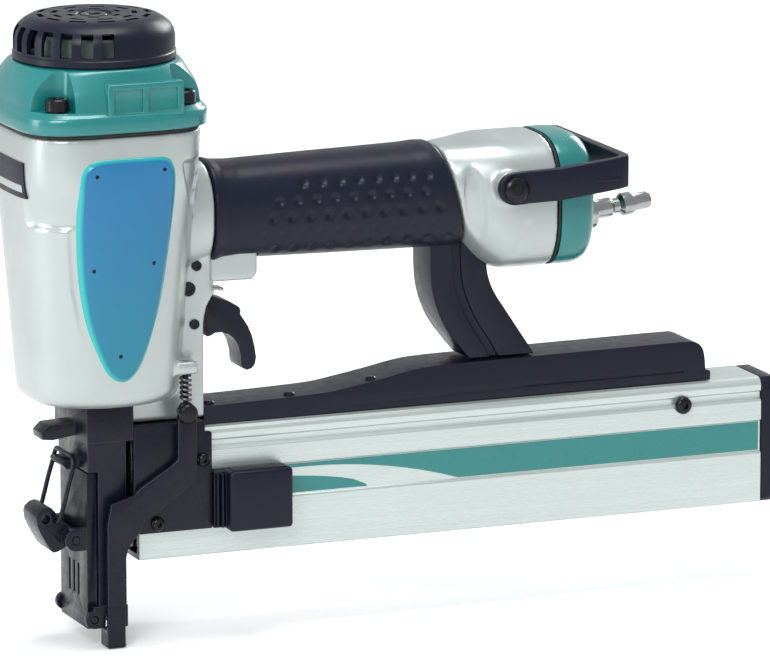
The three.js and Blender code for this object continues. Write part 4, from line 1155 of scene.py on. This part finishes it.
rubberGrip()
print("grip fitted")

# Handle end: painted cap, gasket, air plug, carry hook and their screws.
endSizes = {"around": 128, "spread": 0.6, "screwHead": 3.6, "screwHole": 3.9, "sink": 2.8}


def endCap():
    low, high = nodeBox("handle_end_cap")
    half = (high.y - low.y) / 2
    x, deep = low.x, high.x - low.x
    rows = [(x, endZ, half - 0.6, half - 0.6, 3), (x + 0.6, endZ, half, half, 3),
            (x + deep * 0.5, endZ, half, half, 3), (x + deep * 0.72, endZ, half - 0.7, half - 0.7, 3),
            (x + deep * 0.86, endZ, half - 2, half - 2, 3),
            (x + deep * 0.96, endZ, half - 3.9, half - 3.9, 2.9),
            (x + deep, endZ, half - 5.6, half - 5.6, 2.9)]
    cap = lengthwise(smoothRows(rows, 4), endSizes["around"], "handle_end_cap_finished")
    plug = nodeBox("air_plug")
    plugZ = plug[1].z - 9.2 * math.cos(math.pi / 6)
    cutters = [rod(half - 9, x - 1, x + deep * 0.45, (0, 0, endZ), "x", 72),
               rod(7.4, x, high.x + 1, (0, 0, plugZ), "x")]
    spread = half * endSizes["spread"]
    holes = [rod(endSizes["screwHole"], high.x - endSizes["sink"], high.x + 1,
                 (0, i * spread, endZ + j * spread), "x", 32)
             for i in (-1, 1) for j in (-1, 1)]
    cutters.append(joined("screwHoles", holes))
    cut(cap, cutters)
    shadeSmooth(cap, 40)
    settle(cap, tealPaint, "handle_end_cap")
    nodes = [f"end_cap_screw_{k + 1}" for k in range(4)]
    places = [(high.x - endSizes["sink"] + 0.3, *centreOf(node)[1:]) for node in nodes]
    screw = capScrew(endSizes["screwHead"], 2.4, 1.8, 20.5)
    screws = scattered("end_cap_screws_finished", screw, places, [(0, math.pi / 2, 0)] * 4)
    settle(screws, screwSteel, *nodes)


def airPlug():
    low, high = nodeBox("air_plug")
    seat = nodeBox("handle_end_cap")[1].x + 1.2
    plugZ = endZ - 10.5
    profile = [(2.6, -7), (6, -7), (6, 0), (8.6, 0), (8.6, 0.8), (8.6, 8.7), (8, 9.5), (5.2, 9.6),
               (4.6, 10.5), (4.6, 18.6), (3.6, 20), (3.6, 23), (4.6, 23.9), (5.4, 24.7), (5.4, 29.3),
               (5, 30.2), (4.1, 31.5),
               (4.1, 37.2), (3.6, 39), (2.8, 39), (2.6, 38.6), (2.6, -7)]
    body = turned(profile, sides=72, name="air_plug_finished")
    hexagon = [(9.1 * math.cos(a), 9.1 * math.sin(a)) for a in np.arange(6) * math.pi / 3]
    nut = bevel(slab(hexagon, 0.3, 9.5), 0.7, 2)
    cut(nut, [rod(7, -1, 11, (0, 0, 0))])
    body = joined("air_plug_finished", [body, nut])
    lean = Matrix.Rotation(math.pi / 2 - 0.11, 4, "Y")
    body.data.transform(Matrix.Translation(Vector((seat, 0, plugZ)) * mm) @ lean)
    shadeSmooth(body, 35)
    settle(body, brightSteel, "air_plug")


hookSizes = {"eye": 7.6, "gap": 1.4, "screwDepth": 13}


def carryHook():
    low, high = nodeBox("carry_hook")
    x, z = centreOf("hook_screw_left")[::2]
    near = nodeBox("handle_end_cap")[1].y + hookSizes["gap"]
    far = high.y - 4
    back = high.x - 4

    def half(side):
        return [(x - 8, side * near), (x - 8, side * (near + 3.4)), (x - 6, side * (near + 4)),
                (x + 6, side * (near + 5.3)), (x + 20, side * (far + 3.2)), (back - 8, side * (far + 4)),
                (back - 1, side * (far + 3.6)), (back + 2.6, side * (far + 2.2)),
                (back + 4, side * (far - 1.4))]

    def inside(side):
        return [(back, side * (far - 4)), (back - 0.8, side * (far - 1.6)), (back - 3, side * (far - 0.3)),
                (back - 10, side * far), (x + 20, side * (far - 1.2)), (x + 5, side * (near + 1.3))]

    outline = half(-1) + half(1)[::-1] + inside(1)[::-1] + inside(-1)
    strap = slab(outline, z - 14, z + 22, "carry_hook_finished")
    top = [(x + 4, z + 7.9), (high.x + 1, high.z + 0.1), (high.x + 1, low.z + 6.5), (x + 4, z - 7.3)]
    eye = hookSizes["eye"]
    angles = np.linspace(math.pi * 1.5, math.pi / 2, 22)
    arc = [(x + eye * math.cos(a), z + eye * math.sin(a)) for a in angles]
    sideView = plate(arc + top, -far - 9, far + 9)
    cut(strap, [sideView], "INTERSECT")
    cut(strap, [rod(3.1, -far - 9, far + 9, (x, 0, z), "y")])
    bevel(strap, 0.7, 3, 35)
    ribs = [bevel(box((x + 37, side * (far + 3.5) - 0.9, z + 2.1),
                      (back - 2, side * (far + 3.5) + 0.9, z + 3.7)), 0.5)
            for side in (-1, 1)]
    cut(strap, [joined("ribs", ribs)], "UNION")
    shadeSmooth(strap, 35)
    settle(strap, darkPlastic, "carry_hook")


def hookScrews():
    depth = hookSizes["screwDepth"]
    profile = [(0, -depth), (2.8, -depth), (2.8, 0), (5.6, 0), (6, 0.4), (6, 1.1), (5.2, 1.9), (4, 2.45),
               (2.2, 2.6), (2, 2.2), (0, 2.2)]
    places = []
    for node in ("hook_screw_left", "hook_screw_right"):
        low, high = nodeBox(node)
        x, z = centreOf(node)[::2]
        places.append((x, low.y + depth if low.y > 0 else high.y - depth, z))
    screws = scattered("hook_screws_finished", turned(profile, sides=48), places,
                       [(math.pi / 2, 0, 0), (-math.pi / 2, 0, 0)])
    settle(screws, screwSteel, "hook_screw_left", "hook_screw_right")


endCap()
airPlug()
carryHook()
hookScrews()
edged("end_cap_gasket", 0.2, sealRubber)
edged("cylinder_gasket", 0.2, sealRubber)
print("handle end fitted")

# Trigger, its pins, and the valve above it.
triggerSizes = {"edge": 1.1, "hub": 4.3, "bore": 2.7}


def around(points):
    return [(pivotX + u, pivotZ + w) for u, w in points]


def trigger():
    low, high = nodeBox("trigger")
    outline = [(-2.6, -1.5), (1, -3.2), (4, -3.5), (8.2, -4.2), (16.2, -6.5), (24, -9.5), (28.2, -12.2),
               (28.8, -13.8), (28.6, -15.6), (30.4, -18.3), (32.5, -21.6), (34.4, -26), (35.7, -31.5),
               (36.4, -36.4), (35.9, -39.6), (34.2, -41.6), (31.9, -42.2), (29.9, -41.3), (29.1, -39),
               (28.9, -35.2), (27.6, -30.2), (25.6, -26.8), (23, -24.7), (19.5, -23.4), (16.2, -23.4),
               (13.8, -24.6), (12.4, -24.9), (12, -22), (11.9, -15.5), (10.3, -11.9), (7.6, -8.9), (2, -6),
               (-2, -4)]
    body = plate(around(outline), low.y, high.y, "trigger_finished")
    cut(body, [rod(triggerSizes["hub"], low.y, high.y, (pivotX, 0, pivotZ), "y")], "UNION")
    cut(body, [rod(triggerSizes["bore"], low.y - 1, high.y + 1, (pivotX, 0, pivotZ), "y")])
    bevel(body, triggerSizes["edge"], 4, 40)
    settle(body, darkPlastic, "trigger")


def webPins():
    nodes = ("trigger_pin", "web_pin_1", "web_pin_2")
    pieces = []
    for node in nodes:
        low, high = nodeBox(node)
        r = (high.x - low.x) / 2
        x, z = centreOf(node)[::2]
        shank = r - (0.9 if node == "trigger_pin" else 0.6)
        profile = [(0, low.y + 0.45), (r * 0.4, low.y + 0.4), (r * 0.5, low.y), (r - 0.3, low.y),
                   (r, low.y + 0.3), (r, low.y + 0.7), (shank, low.y + 0.72), (shank, high.y - 0.2),
                   (shank - 0.2, high.y), (0, high.y)]
        pieces.append(turned(profile, (x, 0, z), 40, "y"))
    pins = joined("pins_finished", pieces)
    shadeSmooth(pins, 35)
    settle(pins, screwSteel, *nodes)


trigger()
webPins()
edged("trigger_arm", 0.25, brightSteel)
dress(brightSteel, "valve_stem")
dress(turnedAluminium, "valve_body", "cylinder_sleeve", "piston")
dress(sealRubber, "piston_bumper", "piston_ring")
dress(brightSteel, "driver_blade")
dress(darkPlastic, "head_valve")
print("trigger fitted")

# Nose: the guide, the door with its boss, the latch and wire, and the contact trip.
noseSizes = {"edge": 0.45, "wire": 1.1}


def noseParts():
    for node in ("nose_base", "magazine_bracket", "contact_foot"):
        edged(node, noseSizes["edge"], blackSteel)
    edged("contact_bolt", 0.3, screwSteel)
    edged("nose_door", noseSizes["edge"], blackSteel)


def contactArm():
    low, high = nodeBox("contact_arm")
    x, z = centreOf("contact_bolt")[::2]
    foot = low.z
    outline = [(low.x, foot), (0.3, foot), (0.3, foot + 22), (1.2, foot + 26), (3.6, foot + 29.5),
               (6.3, foot + 32.5), (9.3, foot + 38.2), (x + 3.4, z - 33.5), (x + 4.6, z - 31),
               (high.x, z - 27.5), (high.x, z + 1.9),
               (x + 2, z + 4.9), (x - 2, z + 4.9), (x - 4.2, z + 1.9), (x - 4.2, z - 21.6), (x - 8, z - 24.6),
               (7, foot + 54), (4.3, foot + 51), (-6.7, foot + 48), (low.x, foot + 38)]
    arm = plate(outline, low.y, high.y, "contact_arm_finished")
    cut(arm, [rod(2.9, low.y - 1, high.y + 1, (x, 0, z), "y", 32)])
    bevel(arm, noseSizes["edge"], 3, 30)
    y = (low.y + high.y) / 2
    stem = rod(1.3, z + 4.2, high.z, (x, y, 0), sides=24)
    arm = joined("contact_arm_finished", [arm, bevel(stem, 0.25, 2)])
    shadeSmooth(arm, 35)
    settle(arm, blackSteel, "contact_arm")


def doorLatch():
    x, z = centreOf("latch_pin")[::2]
    outline = [(0, 4.3), (-3, 7), (-6.5, 11.4), (-9, 14.2), (-11, 14.9), (-13.4, 14.4), (-15.8, 12.4),
               (-16.5, 10.4), (-16, 6.5), (-14.5, 3), (-12, -1.6), (-9.6, -5.6), (-8.2, -6.9), (-6, -6.6),
               (-2.6, -5), (0, -4.3),
               (2.4, -3), (4.2, 0), (2.8, 3.2)]
    lever = plate([(x + u, z + w) for u, w in outline], -9, 9, "door_latch_finished")
    hub = rod(4.3, -13, 13, (x, 0, z), "y", 40)
    cut(lever, [hub], "UNION")
    wireZ = nodeBox("latch_wire")[0].z + noseSizes["wire"]
    cut(lever, [rod(2.3, -10, 10, (x - 11.8, 0, z + 9), "y", 32),
                rod(1.5, -10, 10, (x - 7, 0, wireZ), "y", 24), rod(2.1, -14, 14, (x, 0, z), "y", 32)])
    bevel(lever, 0.5, 3, 40)
    settle(lever, blackSteel, "door_latch")


# The bail: a round wire bent through a smooth closed line.
def latchWire():
    low, high = nodeBox("latch_wire")
    r = noseSizes["wire"]
    x, z = nodeBox("latch_pin")[0].x + 1.8 - 7, low.z + r
    barX, barZ = high.x - r, high.z - r
    near = [(x, -4, z), (x, -8.6, z), (x, -10.8, z + 0.1), (x + 0.2, -12.4, z + 0.8), (x + 1, -13.3, z + 3),
            (x + 2.7, -13.5, z + 9), (x + 4.5, -13.4, z + 16), (barX - 0.8, -13.1, barZ - 5.4),
            (barX - 0.2, -12.4, barZ - 2), (barX, -10.6, barZ - 0.1), (barX, -8, barZ), (barX, -3, barZ)]
    line = near + [(u, -v, w) for u, v, w in reversed(near)]
    path = smoothRows([*line, line[0]], 5)[:-1]
    rings = []
    for k, point in enumerate(path):
        along = Vector(path[(k + 1) % len(path)] - path[k - 1]).normalized()
        side = Vector((1, 0, 0.35)).cross(along).normalized()
        up = along.cross(side)
        rings.append([tuple(Vector(point) + (side * math.cos(a) + up * math.sin(a)) * r)
                      for a in np.arange(16) * math.pi / 8])
    settle(skin(rings, "latch_wire_finished", 60, closed=True), blackSteel, "latch_wire")


def nosePins():
    for node in ("door_hinge_pin", "latch_pin"):
        low, high = nodeBox(node)
        r = (high.x - low.x) / 2
        x, z = centreOf(node)[::2]
        profile = [(0, low.y), (r - 0.35, low.y), (r, low.y + 0.35), (r, high.y - 0.35), (r - 0.35, high.y),
                   (0, high.y)]
        settle(turned(profile, (x, 0, z), 40, "y", node + "_finished"), screwSteel, node)


noseParts()
contactArm()
doorLatch()
latchWire()
nosePins()
print("nose fitted")

# Magazine: the drawn extrusion, its painted stripe, cover, side catch, end cap and screws.
magazineSizes = {
    "stripeThin": 1.8,
    "stripeFrom": 11.0,
    "stripeBend": 92.0,
    "stripeFull": 170.0,
    "sliverEnd": 124.0,
    "stripeProud": 0.12,
    "coverEdge": 2.6,
    "knob": 2.6,
    "sliverFrom": 45,
    "sliverHigh": 9.5,
}
satinAluminium = finish("satinAluminium", ((0.47, 0.53, 0.51), (0.54, 0.6, 0.58)), (0.24, 0.36), metallic=0.6,
                        patch=900, grain=2600, bump=0.12, stretch=(0.012, 1, 1), coat=0.15, coatRoughness=0.2)
stripePaint = finish("stripePaint", ((0.004, 0.16, 0.155), (0.006, 0.19, 0.18)), (0.25, 0.33), metallic=0.1,
                     patch=40, grain=1500, bump=0.06, coat=0.4, coatRoughness=0.12)


def magazineBody():
    low, high = nodeBox("magazine_body")
    w, z, top = high.y, low.z, high.z
    side = [(w - 0.5, z), (w, z + 0.5), (w, z + 23.6), (w - 0.3, z + 24.3), (w - 1.1, z + 25),
            (w - 1.1, z + 39.3), (w - 0.3, z + 40), (w, z + 40.6), (w, top - 11.4), (w - 0.4, top - 10.8),
            (w - 1.4, top - 9.7), (w - 1.6, top - 8.4), (w - 1.4, top - 7), (w - 0.5, top - 6.2),
            (w - 0.3, top - 5.4), (w - 0.3, top - 3.4), (w - 0.9, top - 1.9), (w - 2, top - 0.7),
            (w - 3.6, top)]
    outline = side + [(-y, h) for y, h in reversed(side)]
    body = skin([[(x, y, h) for y, h in outline] for x in (low.x, high.x)], "magazine_body_finished", 20)
    inner = w - 3.5
    cut(body, [box((low.x - 1, -inner, z + 2.4), (high.x + 1, inner, top - 2.4))])
    shadeSmooth(body, 20)
    settle(body, satinAluminium, "magazine_body")


# The stripe runs in the recess and ends forwards in two curved points.
def magazineStripe():
    sizes = magazineSizes
    low, high = nodeBox("magazine_body")
    bottom, top = low.z + 25.3, low.z + 39.1
    thin = sizes["stripeThin"]
    curve = []
    for s in np.linspace(0, 1, 22):
        x = sizes["stripeBend"] + (sizes["stripeFull"] - sizes["stripeBend"]) * s
        curve.append((x, top - thin - (top - thin - bottom) * s ** 2.1))
    main = [(high.x - 1, top), (sizes["stripeFrom"], top), (sizes["stripeFrom"], top - thin), *curve,
            (high.x - 1, bottom)]
    bend = sizes["sliverFrom"]
    span = sizes["sliverEnd"] - bend
    sliver = [(sizes["sliverEnd"], bottom), (sizes["stripeFrom"], bottom)]
    for x in np.linspace(sizes["stripeFrom"], sizes["sliverEnd"] - 0.4, 18):
        sliver.append((x, bottom + sizes["sliverHigh"] * math.sqrt(1 - (max(x - bend, 0) / span) ** 2)))
    pieces = []
    for side in (-1, 1):
        face = high.y - 1.1
        y0, y1 = sorted((side * (face - 0.2), side * (face + sizes["stripeProud"])))
        pieces += [plate(main, y0, y1), plate(sliver, y0, y1)]
    stripe = joined("magazine_stripe", pieces)
    shadeSmooth(stripe, 30)
    trim(stripe, stripePaint, "magazine")


def magazineCover():
    low, high = nodeBox("magazine_cover")
    x0, x1, z, top = low.x, high.x, low.z, high.z
    outline = smoothRows([(x0, z + 1), (x0, top - 11.6), (x0 + 2, top - 11), (x0 + 30, top - 10.4),
                          (x0 + 60, top - 9.4), (x0 + 74, top - 7.6), (x0 + 92, top - 4.6),
                          (x0 + 103, top - 2.5), (x0 + 116, top - 1.2),
                          (x0 + 150, top - 0.7), (x0 + 200, top - 0.3), (x1 - 16, top), (x1 - 8, top - 0.6),
                          (x1 - 4.4, top - 3.4), (x1 - 3, top - 8), (x1 - 2.6, z + 6)], 5)
    outline += [(x1 - 2.6, z + 5), (x1 - 0.4, z + 4.4), (x1, z + 3.8), (x1, z), (x0, z)]
    cover = plate(outline, low.y, high.y, "magazine_cover_finished")
    slots = [box((x1 - 96, side * (high.y + 0.4) - 1, z + 4.4), (x1 - 14, side * (high.y + 0.4) + 1, z + 5.4))
             for side in (-1, 1)]
    cut(cover, [joined("slots", slots)])
    bevel(cover, magazineSizes["coverEdge"], 5, 50)
    r = magazineSizes["knob"]
    profile = [(0, -2), (r + 0.6, -2), (r, 0.9), (r - 0.8, 1.5), (0, 1.5)]
    knobs = [turned(profile, (x, -high.y + 5.5, top - drop), 24)
             for x, drop in ((x0 + 4.5, 11), (x0 + 44.5, 10.1), (x0 + 85.4, 6.1))]
    cover = joined("magazine_cover_finished", [cover, *knobs])
    shadeSmooth(cover, 35)
    settle(cover, darkPlastic, "magazine_cover")


def magazineCatch():
    low, high = nodeBox("magazine_latch")
    neck = low.x + 5.4
    block = box((neck, low.y, low.z), (high.x, high.y, high.z), "magazine_latch_finished")
    bevel(block, 1.8, 4)
    shadow = box((low.x, high.y - 4.6, low.z + 1), (neck + 2, high.y, high.z - 1))
    ribs = [bevel(box((low.x + 0.6 + k * 2.1, high.y - 8.2 + abs(k - 1), low.z + 1.6),
                      (low.x + 1.7 + k * 2.1, high.y - 1, high.z - 1.6)), 0.3) for k in range(3)]
    lip = bevel(box((neck + 2.4, low.y + 2.2, high.z - 1), (high.x - 2.4, high.y - 1.9, high.z + 0.4)), 0.3)
    latch = joined("magazine_latch_finished", [block, bevel(shadow, 0.4), *ribs, lip])
    shadeSmooth(latch, 35)
    settle(latch, darkPlastic, "magazine_latch")


def supportBracket():
    low, high = nodeBox("support_bracket")
    foot, x, half = low.z, gripEnd, high.y
    front = smoothRows([(x - 9.9, handleZ - 18), (x - 9.8, foot + 44), (x - 9, foot + 34),
                        (x - 6.2, foot + 24), (x - 1, foot + 14), (x + 10, foot)], 6)
    rear = smoothRows([(x + 43, foot), (x + 36, foot + 10.5), (x + 29, foot + 21), (x + 22.5, foot + 31),
                       (x + 19.4, foot + 39), (x + 18.4, foot + 47), (x + 18.2, handleZ - 20)], 6)
    post = plate([*front, *rear], -half, half, "support_bracket_finished")
    spine = smoothRows([(x + 3.2, handleZ - 16), (x + 3.4, foot + 44), (x + 5.4, foot + 32),
                        (x + 11, foot + 19), (x + 18, foot + 8), (x + 23, foot - 1)], 5)
    groove = [(u - 2.2, w) for u, w in spine] + [(u + 2.2, w) for u, w in reversed(spine)]
    cut(post, [joined("grooves", [plate(groove, side * half - 1.6, side * half + 1.6) for side in (-1, 1)])])
    bevel(post, 0.9, 3, 40)
    settle(post, darkPlastic, "support_bracket")


def sideScrews(nodes, name):
    places = []
    for node in nodes:
        x, z = centreOf(node)[::2]
        places.append((x, nodeBox(node)[1].y, z))
    low, high = nodeBox(nodes[0])
    r = (high.x - low.x) / 2
    button = turned([(0, 0), (r, 0), (r, 1), (r * 0.92, 1.6), (r * 0.72, 2.3), (r * 0.5, 2.6), (0, 2.6)],
                    sides=40)
    cut(button, [rod(r * 0.42, 1.2, 4, (0, 0, 0), sides=6)])
    screws = scattered(name, button, places, [(math.pi / 2, 0, 0)] * len(places))
    settle(screws, screwSteel, *nodes)


magazineBody()
magazineStripe()
magazineCover()
magazineCatch()
supportBracket()
sideScrews(("magazine_screw",), "magazine_screw_finished")
sideScrews(("bracket_screw_1", "bracket_screw_2"), "bracket_screws_finished")
edged("magazine_end_cap", 0.8, darkPlastic, 3)
dress(brightSteel, "staple_rail")
dress(springSteel, "pusher")
print("magazine fitted")
